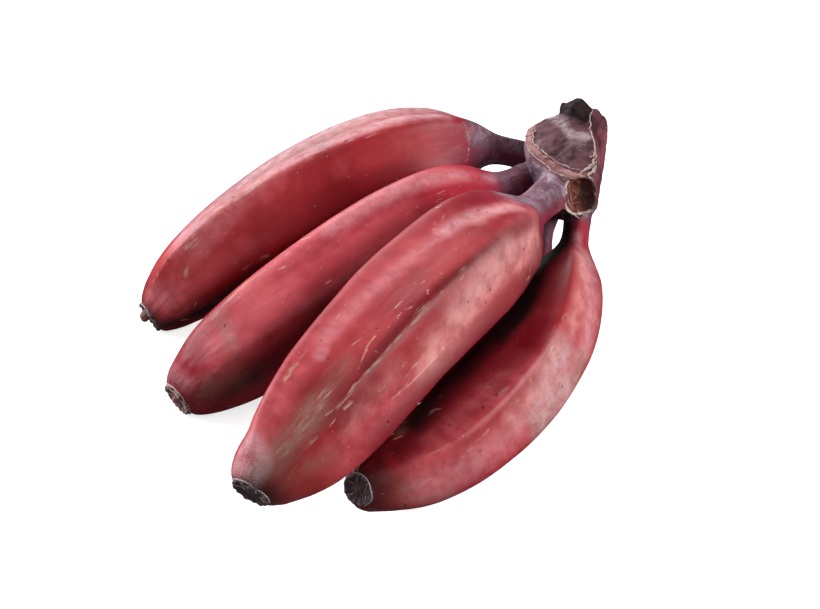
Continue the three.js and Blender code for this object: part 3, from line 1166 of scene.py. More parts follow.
    def paint(self, body: Piece, local: Array, outside: Array, stub: Array) -> None:
        """Store the black, the pale streak, the rosy side and the waxy side.

        Args:
            body: the crown's skin.
            local: (along, across, height) of each point.
            outside: how far each point lies outside the cut face.
            stub: how much it belongs to the stub.
        """
        along, across, height = local.T
        fin_edge = 0.8 * near(local, (8.5, 15.2, 57.0), 3.4, 1.4)
        fin_side = 0.6 * near(local, (8.5, 14.0, 58.0), 10.0, 3.0)
        store(body, "char", np.maximum.reduce((stub, fin_edge, fin_side)))
        corners = np.array(self.streak, dtype=float)
        nearest = np.minimum.reduce([to_segment(local[:, :2], *ends) for ends in zip(corners, corners[1:])])
        store(body, "streak", smooth(4.2, 0.5, nearest))
        rosy = smooth(0.2, 1.6, outside) * smooth(8.0, 10.5, across) * smooth(34, 42, height)
        store(body, "rosy", np.maximum(rosy, 0.8 * near(local, (-29.5, -1.0, 46.0), 5.5, 2.0)))
        beside = np.maximum(smooth(0.5, 1.5, outside), smooth(55.5, 54.0, height))
        waxy = smooth(3.0, -4.0, across) * beside * smooth(36, 46, height)
        store(body, "lilac", waxy * smooth(12, 2, along))

    def hollow_socket(self, points: Array) -> Array:
        """Sink the skin behind the torn socket.

        Args:
            points: positions of the crown's skin.
        Returns:
            The same points, pushed in where the socket is.
        """
        facing, tall, wide = self.socket_axes
        offset = points - self.axes.place(np.array(self.socket_centre))
        reach = np.hypot(offset @ tall / self.socket_half[0], offset @ wide / self.socket_half[1])
        ahead = offset @ facing
        floor = (self.socket_depth - 0.3) * smooth(0.75, 1.0, reach) - self.socket_depth
        sink = np.where((reach < 1.0) & (ahead > floor) & (ahead < 14), floor - ahead, 0.0)
        return points + sink[:, None] * facing

    def socket(self) -> Piece:
        """Model the torn socket, where one more finger once grew.

        Returns:
            The socket, one mesh.
        """
        facing, tall, wide = self.socket_axes
        centre = self.axes.place(np.array(self.socket_centre))
        return Scar("torn_socket", centre, tall, wide, self.socket_half, SOCKET_PROFILE, SOCKET_THREADS,
                    folds=7, ragged=0.9, sides=56, seed=5.0, square=3.2).build()

    def cords(self, body: Piece) -> Piece:
        """Lay the pale, cord-like edges of the bark on the crown.

        Args:
            body: the crown's skin, which they lie on.
        Returns:
            All the edges as one mesh.
        """
        parts = []
        for index, (radius, corners) in enumerate(CROWN_CORDS):
            steps, line = resample(corners, 12)
            wander = drift(4.0 * steps, 3.0, 3.0 + index)
            line += 0.22 * wander[:, None] * (1.0, 0.7, 0.3)
            places = []
            for place in self.axes.place(line):
                _, hit, normal, _ = body.closest_point_on_mesh(Vector(place * MM))
                places.append(np.array(hit + normal * (0.35 * radius * MM)) / MM)
            swell = 0.45 + 0.55 * np.sin(math.pi * np.linspace(0.05, 0.95, len(places))) ** 0.5
            parts.append(tube("cord", np.array(places), radius * swell * (1 + 0.6 * wander), 2))
        cords = join(parts, "crown_cords")
        polish(cords)
        return cords


# ---- materials

class Nodes:
    """A short way to write a node tree."""

    def __init__(self, tree: bpy.types.NodeTree) -> None:
        """Keep the tree that nodes are added to."""
        self.tree = tree

    def add(self, kind: str, inputs: dict[str | int, object] | None = None, **settings: object
            ) -> bpy.types.Node:
        """Add a node, set it and feed it.

        Args:
            kind: Blender's name for the node's type, without its prefix.
            inputs: a value or another node's output for each named or numbered input.
            settings: the node's own values.
        Returns:
            The node.
        """
        node = self.tree.nodes.new("ShaderNode" + kind)
        for name, value in settings.items():
            setattr(node, name, value)
        for name, value in (inputs or {}).items():
            self.feed(node.inputs[name], value)
        return node

    def feed(self, socket: Socket, value: object) -> None:
        """Link an output to a socket, or set the socket's own value.

        Args:
            socket: the input to feed.
            value: an output, a number, a vector or a colour.
        """
        if isinstance(value, Socket):
            self.tree.links.new(value, socket)
        else:
            socket.default_value = value

    def math(self, operation: str, a: object, b: object = 0.0, clamp: bool = False) -> Socket:
        """Return the output of a sum of two numbers."""
        return self.add("Math", {0: a, 1: b}, operation=operation, use_clamp=clamp).outputs[0]

    def times(self, a: object, b: object, clamp: bool = False) -> Socket:
        """Return the product of two numbers."""
        return self.math("MULTIPLY", a, b, clamp)

    def plus(self, a: object, b: object) -> Socket:
        """Return two numbers added up."""
        return self.math("ADD", a, b)

    def most(self, a: object, b: object) -> Socket:
        """Return the larger of two numbers."""
        return self.math("MAXIMUM", a, b)

    def mix(self, share: object, a: object, b: object) -> Socket:
        """Return the output of a mix of two colours.

        Args:
            share: how much of the second colour shows.
            a: the first colour.
            b: the second colour.
        Returns:
            The mixed colour.
        """
        node = self.add("Mix", data_type="RGBA")
        for index, value in ((0, share), (6, a), (7, b)):
            self.feed(node.inputs[index], value)
        return node.outputs[2]

    def over(self, colour: Socket, code: str, share: object) -> Socket:
        """Return a colour with a share of a web colour laid over it."""
        return self.mix(share, colour, rgb(code))

    def span(self, value: object, low: float, high: float, to_low: float = 0.0, to_high: float = 1.0
             ) -> Socket:
        """Return a number carried smoothly from one span to another."""
        return self.add("MapRange", {0: value, 1: low, 2: high, 3: to_low, 4: to_high},
                        interpolation_type="SMOOTHSTEP").outputs[0]

    def blend(self, pattern: Socket, low: float, high: float, code_low: str, code_high: str) -> Socket:
        """Return one web colour where a pattern is low and another where it is high."""
        return self.mix(self.span(pattern, low, high), rgb(code_low), rgb(code_high))

    def attribute(self, name: str, vector: bool = False) -> Socket:
        """Return a number or a vector that is stored on the mesh."""
        node = self.add("Attribute", attribute_name=name)
        return node.outputs["Vector" if vector else "Fac"]

    def moved(self, vector: Socket, **settings: Triple) -> Socket:
        """Return a vector that is shifted, turned or stretched."""
        return self.add("Mapping", {"Vector": vector, **settings}).outputs[0]

    def object_space(self) -> Socket:
        """Return the place on the object in metres."""
        return self.add("TexCoord").outputs["Object"]

    def noise(self, vector: Socket, scale: object, detail: float, roughness: float = 0.6,
              distortion: float = 0.0) -> Socket:
        """Return a noise value."""
        return self.add("TexNoise", {"Vector": vector, "Scale": scale, "Detail": detail,
                                     "Roughness": roughness, "Distortion": distortion}).outputs[0]

    def effect(self, effect: Effect, **inputs: object) -> Outputs:
        """Place a node group and feed it.

        Args:
            effect: which group.
            inputs: a value or an output for each named input.
        Returns:
            The group's outputs.
        """
        node = self.tree.nodes.new("ShaderNodeGroup")
        node.node_tree = effect.group()
        for name, value in inputs.items():
            self.feed(node.inputs[name], value)
        return node.outputs


def rgb(code: str) -> tuple[float, float, float, float]:
    """Return a linear colour from a web colour such as #a23a3c."""
    parts = [int(code[i:i + 2], 16) / 255 for i in (1, 3, 5)]
    return tuple(p / 12.92 if p <= 0.04045 else ((p + 0.055) / 1.055) ** 2.4 for p in parts) + (1.0,)


class Effect(Enum):
    """Node groups that more than one finish uses, each built once.

    A member holds the group's name, the numbers that it takes besides a vector, and its results. The
    method of the same name fills the group, from what it is given to what it results in.
    """

    BROKEN_EDGE = ("Broken edge", {"Mask": 0.0, "Scale": 300.0, "Break": 1.2}, {"Mask": "Float"})
    HAIRLINES = ("Hairlines", {"Scale": 90.0}, {"Mask": "Float"})
    SCRATCHES = ("Scratches", {"Scale": 130.0, "Stretch": 20.0, "Share": 0.16}, {"Mask": "Float"})
    SPECKS = ("Specks", {"Scale": 400.0, "Share": 0.3}, {"Mask": "Float"})
    PLUM_SKIN = ("Plum skin", {"Lilac": 0.0}, {"Color": "Color", "Height": "Float"})

    def group(self) -> bpy.types.NodeTree:
        """Return the node group, which is built the first time.

        Returns:
            The group, with its numbers at their starting values.
        """
        name, numbers, results = self.value
        if name in bpy.data.node_groups:
            return bpy.data.node_groups[name]
        tree = bpy.data.node_groups.new(name, "ShaderNodeTree")
        tree.interface.new_socket("Vector", in_out="INPUT", socket_type="NodeSocketVector")
        for label, value in numbers.items():
            socket = tree.interface.new_socket(label, in_out="INPUT", socket_type="NodeSocketFloat")
            socket.default_value = value
        for label, kind in results.items():
            tree.interface.new_socket(label, in_out="OUTPUT", socket_type="NodeSocket" + kind)
        given, result = tree.nodes.new("NodeGroupInput"), tree.nodes.new("NodeGroupOutput")
        getattr(self, self.name.lower())(Nodes(tree), given.outputs, result.inputs)
        return tree

    @staticmethod
    def some_cells(nodes: Nodes, given: Outputs, vector: Socket, edge: float, core: float) -> Socket:
        """Keep the middles of a share of the cells of a pattern.

        Args:
            nodes: the group's nodes.
            given: what the group is given.
            vector: the place that the pattern is read at.
            edge: distance from a cell's middle where its dot ends.
            core: distance up to which the dot is full.
        Returns:
            The dots' cover.
        """
        cells = nodes.add("TexVoronoi", {"Vector": vector, "Scale": given["Scale"]})
        dot = nodes.span(cells.outputs["Distance"], edge, core)
        chosen = nodes.add("SeparateColor", {0: cells.outputs["Color"]}).outputs[0]
        return nodes.times(dot, nodes.math("LESS_THAN", chosen, given["Share"]))

    @staticmethod
    def broken_edge(nodes: Nodes, given: Outputs, result: Inputs) -> None:
        """Give a painted mask a ragged, flaky edge: add noise to it, then sharpen it.

        Args:
            nodes: the group's nodes.
            given: what the group is given.
            result: what it results in.
        """
        flakes = nodes.noise(given["Vector"], given["Scale"], 5.0, 0.62)
        push = nodes.times(nodes.math("SUBTRACT", flakes, 0.5), given["Break"])
        gate = nodes.times(given["Mask"], 1.6, clamp=True)
        pushed = nodes.plus(given["Mask"], nodes.times(push, gate))
        nodes.feed(result["Mask"], nodes.span(pushed, 0.25, 0.75))

    @staticmethod
    def hairlines(nodes: Nodes, given: Outputs, result: Inputs) -> None:
        """Draw hair-fine lines: thin the middle line of a noise, and let a broad noise break it up.

        Args:
            nodes: the group's nodes.
            given: what the group is given.
            result: what it results in.
        """
        waves = nodes.noise(given["Vector"], given["Scale"], 1.5, 0.5, 0.6)
        thin = nodes.span(nodes.math("ABSOLUTE", nodes.math("SUBTRACT", waves, 0.5)), 0.012, 0.0)
        patch = nodes.noise(given["Vector"], nodes.times(given["Scale"], 0.45), 3.0)
        nodes.feed(result["Mask"], nodes.times(thin, nodes.span(patch, 0.52, 0.68)))

    @staticmethod
    def scratches(nodes: Nodes, given: Outputs, result: Inputs) -> None:
        """Scratch along the fruit: stretch small cells into lines, keep a few and let them wander.

        Args:
            nodes: the group's nodes.
            given: what the group is given.
            result: what it results in.
        """
        bend = nodes.noise(given["Vector"], 60.0, 2.0, 0.5)
        shift = nodes.add("CombineXYZ", {0: nodes.times(bend, 0.01), 1: nodes.times(bend, -0.008)})
        wavy = nodes.add("VectorMath", {0: given["Vector"], 1: shift.outputs[0]}).outputs[0]
        squash = nodes.add("CombineXYZ", {0: 1.0, 1: 1.0, 2: nodes.math("DIVIDE", 1.0, given["Stretch"])})
        long = nodes.add("VectorMath", {0: wavy, 1: squash.outputs[0]}, operation="MULTIPLY").outputs[0]
        patch = nodes.span(nodes.noise(given["Vector"], 110.0, 3.0), 0.5, 0.6)
        nodes.feed(result["Mask"], nodes.times(Effect.some_cells(nodes, given, long, 0.13, 0.05), patch))

    @staticmethod
    def specks(nodes: Nodes, given: Outputs, result: Inputs) -> None:
        """Sprinkle small round specks, pores or corky dots."""
        nodes.feed(result["Mask"], Effect.some_cells(nodes, given, given["Vector"], 0.26, 0.1))

    @staticmethod
    def plum_skin(nodes: Nodes, given: Outputs, result: Inputs) -> None:
        """Mix plum, mauve and lilac for the skin that necks and crown share.

        Args:
            nodes: the group's nodes.
            given: what the group is given.
            result: what it results in.
        """
        broad = nodes.noise(given["Vector"], 70.0, 4.0, 0.55, 0.4)
        fine = nodes.noise(given["Vector"], 600.0, 4.0)
        smear = nodes.noise(given["Vector"], 190.0, 4.0, 0.6, 0.5)
        crackle = nodes.noise(given["Vector"], 1300.0, 4.0, 0.7)
        waxy = nodes.times(given["Lilac"], nodes.span(smear, 0.34, 0.6, 0.2, 0.95))
        clouds = nodes.times(nodes.span(fine, 0.35, 0.75), nodes.span(broad, 0.48, 0.68, 0.0, 0.6))
        lilac = nodes.most(clouds, waxy)
        skin = nodes.over(nodes.blend(broad, 0.35, 0.6, "#4a2735", "#704050"), "#93818f", lilac)
        flecks = nodes.times(nodes.span(crackle, 0.53, 0.66, 0.0, 0.8), lilac)
        nodes.feed(result["Color"], nodes.over(skin, "#d8cbd3", flecks))
        nodes.feed(result["Height"], nodes.plus(broad, nodes.times(fine, 0.4)))


@dataclass(frozen=True)
class Finish:
    """What a surface looks like; each kind of finish below lays its own colours and relief.

    Attributes:
        name: the material's name.
    """

    name: str

    def material(self) -> bpy.types.Material:
        """Build the material.

        Returns:
            The material.
        """
        material = bpy.data.materials.new(self.name)
        material.use_nodes = True
        self.dress(Nodes(material.node_tree), material.node_tree.nodes["Principled BSDF"].inputs)
        return material

    def dress(self, nodes: Nodes, shader: Inputs) -> None:
        """Feed the shader, which each kind of finish does in its own way."""
        raise NotImplementedError

    @staticmethod
    def emboss(nodes: Nodes, shader: Inputs, height: Socket, strength: float,
               depth: float) -> None:
        """Give the surface a fine relief, with its depth in metres."""
        bump = nodes.add("Bump", {"Strength": strength, "Distance": depth, "Height": height})
        nodes.feed(shader["Normal"], bump.outputs[0])


@dataclass(frozen=True)
class PeelFinish(Finish):
    """Waxy deep red peel with scurf, pale wax, coral pink and a plum neck; parts of the wax and the pink are
    painted highlight and painted light, and maroon, deep red and nearly black marks are painted shade.

    Attributes:
        seed: moves the patterns, so that each finger is its own.
        deep: the darkest red.
        red: the body colour.
        warm: the brick red between them.
        coral: the pink of its patches, laid in places as painted light on the lit flats.
        lit_salmon: light pink laid on the sunlit flats: painted light.
        crimson: deep red laid on the shaded flats: painted shade.
        shade: nearly black, laid deep between two fingers: painted shade.
        scurf: the tan scars and scratches.
        bloom: pale grey-pink wax, laid mostly on the lit flanks, where it is also a painted highlight.
        dark_and_shade: maroon laid on the undersides and between fingers as painted shade, and the colour of
            the darker ends and of dark specks.
        ochre: the olive brown near the tips.
        wine: the deep pink that leads over to the neck.
        hair: the pale flecks.
        pore: the pale pores.
    """

    seed: float
    deep: str
    red: str
    warm: str
    coral: str = "#c6585f"
    lit_salmon: str = "#dd9f9a"
    crimson: str = "#7a0d1b"
    shade: str = "#0f0507"
    scurf: str = "#bfa593"
    bloom: str = "#cda6ab"
    dark_and_shade: str = "#220c10"
    ochre: str = "#856154"
    wine: str = "#84203a"
    hair: str = "#dcb9aa"
    pore: str = "#e0a79f"

    def dress(self, nodes: Nodes, shader: Inputs) -> None:
        """Lay body colour, painted marks, scratches, neck and scurf, then sheen and relief.

        Args:
            nodes: the material's nodes.
            shader: inputs of the Principled shader.
        """
        straight = nodes.attribute("straight", vector=True)
        place = nodes.moved(straight, Location=(self.seed, 0.37 * self.seed, 0.0))
        streaked = nodes.moved(place, Scale=(1.0, 1.0, 0.16))
        broad = nodes.noise(place, 36.0, 3.0, 0.5, 0.2)
        middle = nodes.noise(place, 150.0, 4.0)
        streaks = nodes.noise(streaked, 420.0, 5.0, 0.65)
        mottle = nodes.noise(place, 260.0, 5.0, 0.68, 0.3)
        crinkle = nodes.noise(place, 1500.0, 4.0, 0.62)
        waxy = nodes.mix(nodes.attribute("tip"), mottle, crinkle)

        colour = nodes.blend(broad, 0.32, 0.6, self.deep, self.red)
        for pattern, span, code in (
                (broad, (0.5, 0.72, 0.0, 0.7), self.warm), (middle, (0.5, 0.8, 0.0, 0.14), self.coral),
                (streaks, (0.5, 0.85, 0.0, 0.12), self.coral), (mottle, (0.52, 0.3, 0.0, 0.45), self.deep)):
            colour = nodes.over(colour, code, nodes.span(pattern, *span))
        wine = nodes.times(nodes.attribute("wine"), nodes.span(streaks, 0.3, 0.6, 0.6, 0.9))
        colour = nodes.over(colour, self.wine, wine)
        # Painted marks. The pale wax is partly a painted highlight, the coral pink partly painted light and
        # the light pink on the lit flats painted light; maroon and deep red on the undersides and shaded
        # flanks are painted shade; the olive brown is the peel's own colour.
        for mark, pattern, code, strength in (
                (Mark.BLUSH_AND_LIGHT, middle, self.coral, 0.7), (Mark.LIT_SALMON, middle, self.lit_salmon, 0.6),
                (Mark.OCHRE, streaks, self.ochre, 0.85), (Mark.DARK_AND_SHADE, broad, self.dark_and_shade, 0.85),
                (Mark.BLOOM, waxy, self.bloom, 0.6), (Mark.CRIMSON, middle, self.crimson, 0.8)):
            varied = nodes.span(pattern, 0.32, 0.66, 0.45 * strength, 1.25 * strength)
            colour = nodes.over(colour, code, nodes.times(nodes.attribute(mark.value), varied, clamp=True))
        hair = nodes.times(nodes.span(nodes.attribute(Mark.HAIR.value), 0.5, 0.9),
                           nodes.span(middle, 0.38, 0.52, 0.15, 0.6))
        colour = nodes.over(colour, self.hair, hair)
        spot = nodes.span(nodes.attribute(Mark.SPOT.value), 0.35, 0.6)
        colour = nodes.over(colour, self.dark_and_shade, nodes.times(spot, 0.8))

        long, short = (
            nodes.effect(Effect.SCRATCHES, Vector=place, Scale=scale, Stretch=stretch, Share=share)[0]
            for scale, stretch, share in ((130.0, 20.0, 0.12), (330.0, 4.0, 0.14)))
        lines = nodes.times(nodes.most(long, short), 0.5)
        colour = nodes.over(colour, self.scurf, lines)
        dots, pores = (nodes.effect(Effect.SPECKS, Vector=place, Scale=scale, Share=0.05)[0]
                       for scale in (330.0, 560.0))
        colour = nodes.over(colour, self.dark_and_shade, nodes.times(dots, 0.6))
        colour = nodes.over(colour, self.pore, nodes.times(pores, 0.2))

        plum = nodes.effect(Effect.PLUM_SKIN, Vector=nodes.object_space(), Lilac=nodes.attribute("lilac"))
        ragged = nodes.times(nodes.math("SUBTRACT", nodes.plus(streaks, middle), 1.0), 0.9)
        neck = nodes.span(nodes.plus(nodes.attribute("plum"), ragged), 0.2, 0.95)
        shown = nodes.plus(nodes.span(broad, 0.35, 0.6, 0.55, 0.85), nodes.attribute("lilac"))
        colour = nodes.mix(nodes.times(neck, shown, clamp=True), colour, plum["Color"])
        scurf = nodes.effect(Effect.BROKEN_EDGE, Vector=streaked, Scale=900.0, Break=2.6,
                             Mask=nodes.times(nodes.attribute("scurf"), 0.6))[0]
        colour = nodes.over(colour, self.scurf, nodes.times(scurf, 0.6))
        # Painted shade: nearly black laid deep between two fingers, over every other colour.
        colour = nodes.over(colour, self.shade, nodes.attribute(Mark.SHADE.value))
        nodes.feed(shader["Base Color"], colour)

        dull = nodes.most(nodes.most(scurf, lines), nodes.times(neck, 0.6))
        sheen = nodes.plus(nodes.span(broad, 0.3, 0.7, 0.38, 0.46), nodes.times(dull, 0.28))
        nodes.feed(shader["Roughness"], sheen)
        shader["Specular IOR Level"].default_value = 0.21
        shader["Subsurface Weight"].default_value = 0.06
        shader["Subsurface Radius"].default_value = (0.004, 0.0012, 0.0008)
        height = nodes.plus(nodes.times(streaks, 0.5), nodes.times(broad, 0.3))
        height = nodes.plus(height, nodes.times(scurf, 0.5))
        height = nodes.math("SUBTRACT", height, nodes.times(dots, 0.6))
        self.emboss(nodes, shader, height, 0.35, 0.0004)


@dataclass(frozen=True)
class DriedFinish(Finish):
    """Dried, dark brown tissue with pale threads from the middle outwards.

    Attributes:
        dark: the darkest brown.
        brown: the lighter brown.
        thread: the pale threads and the rim.
        knob: the withered stub.
        pale_rim: how pale the rim is.
    """

    name: str = "dried blossom end"
    dark: str = "#24161a"
    brown: str = "#583b42"
    thread: str = "#b9a7a8"
    knob: str = "#84504c"
    pale_rim: float = 0.3

    def dress(self, nodes: Nodes, shader: Inputs) -> None:
        """Lay the brown, the knob, and the pale lines, rim and threads.

        Args:
            nodes: the material's nodes.
            shader: inputs of the Principled shader.
        """
        place = nodes.attribute("straight", vector=True)
        grain = nodes.noise(place, 900.0, 5.0, 0.65)
        lines = nodes.effect(Effect.HAIRLINES, Vector=place, Scale=420.0)[0]
        rim = nodes.times(nodes.span(nodes.attribute("middle"), 0.72, 0.95), nodes.span(grain, 0.42, 0.6))
        added = nodes.attribute("thread")
        colour = nodes.blend(grain, 0.35, 0.7, self.dark, self.brown)
        colour = nodes.over(colour, self.knob, nodes.span(added, 0.2, 0.5))
        pale = nodes.most(nodes.times(lines, 0.8), nodes.times(rim, self.pale_rim))
        pale = nodes.most(pale, nodes.span(added, 0.6, 0.95, 0.0, 0.9))
        nodes.feed(shader["Base Color"], nodes.over(colour, self.thread, pale))
        nodes.feed(shader["Roughness"], nodes.span(grain, 0.3, 0.7, 0.7, 0.9))
        self.emboss(nodes, shader, grain, 0.7, 0.0006)


@dataclass(frozen=True)
class SocketFinish(Finish):
    """Torn fibres: orange brown on one side, nearly black on the other, with a pale rim.

    Attributes:
        pale: the rim and the threads.
        fibre: the orange brown.
        furrow: the red brown between fibres.
        dark: the nearly black side.
    """

    name: str = "torn socket"
    pale: str = "#cbbcb0"
    fibre: str = "#9b5843"
    furrow: str = "#5d211b"
    dark: str = "#3a1213"

    def dress(self, nodes: Nodes, shader: Inputs) -> None:
        """Lay uneven rings of fibre, the dark side and the pale rim.

        Args:
            nodes: the material's nodes.
            shader: inputs of the Principled shader.
        """
        place = nodes.attribute("straight", vector=True)
        middle, side = nodes.attribute("middle"), nodes.attribute("side")
        grain = nodes.noise(place, 700.0, 5.0, 0.65)
        cloud = nodes.noise(place, 130.0, 2.0, 0.5)
        phase = nodes.plus(nodes.times(middle, 19.0), nodes.times(cloud, 34.0))
        waves = nodes.math("SINE", nodes.plus(phase, nodes.times(grain, 8.0)))
        rings = nodes.times(nodes.span(waves, -0.6, 1.0), nodes.span(grain, 0.35, 0.6, 0.4, 1.0))
        dark = nodes.span(nodes.plus(side, nodes.times(cloud, 0.7)), 0.8, 1.02)
        colour = nodes.mix(rings, rgb(self.furrow), rgb(self.fibre))
        colour = nodes.over(colour, self.dark, nodes.times(dark, 0.9))
        edge = nodes.plus(middle, nodes.times(grain, 0.22))
        rim = nodes.times(nodes.span(edge, 0.97, 1.04), nodes.span(side, 0.95, 0.7, 0.15, 1.0))
        rim = nodes.most(rim, nodes.span(nodes.attribute("thread"), 0.6, 0.95, 0.0, 0.85))
        nodes.feed(shader["Base Color"], nodes.over(colour, self.pale, rim))
        nodes.feed(shader["Roughness"], nodes.span(grain, 0.3, 0.7, 0.6, 0.85))
        self.emboss(nodes, shader, nodes.plus(grain, nodes.times(rings, 0.5)), 0.8, 0.0006)


@dataclass(frozen=True)
class CordFinish(Finish):
    """Pale, dry bark edge."""

    name: str = "bark edge"

    def dress(self, nodes: Nodes, shader: Inputs) -> None:
        """Lay two browns by a fine grain.

        Args:
            nodes: the material's nodes.
            shader: inputs of the Principled shader.
        """
        grain = nodes.noise(nodes.object_space(), 500.0, 4.0)
        nodes.feed(shader["Base Color"], nodes.blend(grain, 0.35, 0.65, "#7a5a57", "#b3a097"))
        shader["Roughness"].default_value = 0.8


@dataclass(frozen=True)
class CrownFinish(Finish):
    """Mauve skin, a mottled cut face, a tan rim, a black stub and a rosy side."""

    name: str = "crown skin"

    def dress(self, nodes: Nodes, shader: Inputs) -> None:
        """Lay the skin, then the rosy side, the cut face, the bark rim and the black over it.

        Args:
            nodes: the material's nodes.
            shader: inputs of the Principled shader.
        """
        space = nodes.object_space()
        broad = nodes.noise(space, 130.0, 4.0, 0.6, 0.3)
        smear = nodes.noise(nodes.moved(space, Rotation=(0.0, 0.0, 0.5), Scale=(1.0, 0.4, 1.0)), 170.0, 4.0)
        fine = nodes.noise(space, 900.0, 4.0)
        scab = nodes.noise(space, 260.0, 3.0, 0.6, 0.4)
        skin = nodes.effect(Effect.PLUM_SKIN, Vector=space, Lilac=nodes.attribute("lilac"))["Color"]
        rosy = nodes.blend(broad, 0.35, 0.65, "#50222b", "#80414d")
        wood = nodes.blend(broad, 0.38, 0.6, "#3a2026", "#5d3a41")
        wood = nodes.over(wood, "#9a8283", nodes.span(smear, 0.52, 0.72, 0.0, 0.62))
        streak = nodes.times(nodes.attribute("streak"), nodes.span(smear, 0.36, 0.56, 0.15, 0.85))
        wood = nodes.over(wood, "#a89499", streak)
        wood = nodes.over(wood, "#b7a4a6", nodes.span(fine, 0.58, 0.75, 0.0, 0.25))
        bark = nodes.blend(broad, 0.4, 0.6, "#74474a", "#9f7470")
        bark = nodes.over(bark, "#bb9c92", nodes.span(fine, 0.5, 0.7, 0.0, 0.5))
        bark = nodes.over(bark, "#4c2721", nodes.span(scab, 0.56, 0.64, 0.0, 0.85))
        black = nodes.blend(fine, 0.45, 0.7, "#150a0d", "#381d25")
        colour = skin
        for area, layer in (("rosy", rosy), ("face", wood), ("rim", bark), ("char", black)):
            colour = nodes.mix(nodes.attribute(area), colour, layer)
        nodes.feed(shader["Base Color"], colour)
        nodes.feed(shader["Roughness"], nodes.span(fine, 0.3, 0.7, 0.62, 0.8))
        shader["Specular IOR Level"].default_value = 0.2
        self.emboss(nodes, shader, nodes.plus(broad, nodes.times(fine, 0.5)), 0.5, 0.0006)


# ---- studio

@dataclass(frozen=True)
class Lamp:
    """A soft square light: name, place and aim in camera-wise metres, size, power and colour."""

    name: str
    right: float
    away: float
    up: float
    size: float
    power: float
    colour: Triple = (1.0, 1.0, 1.0)


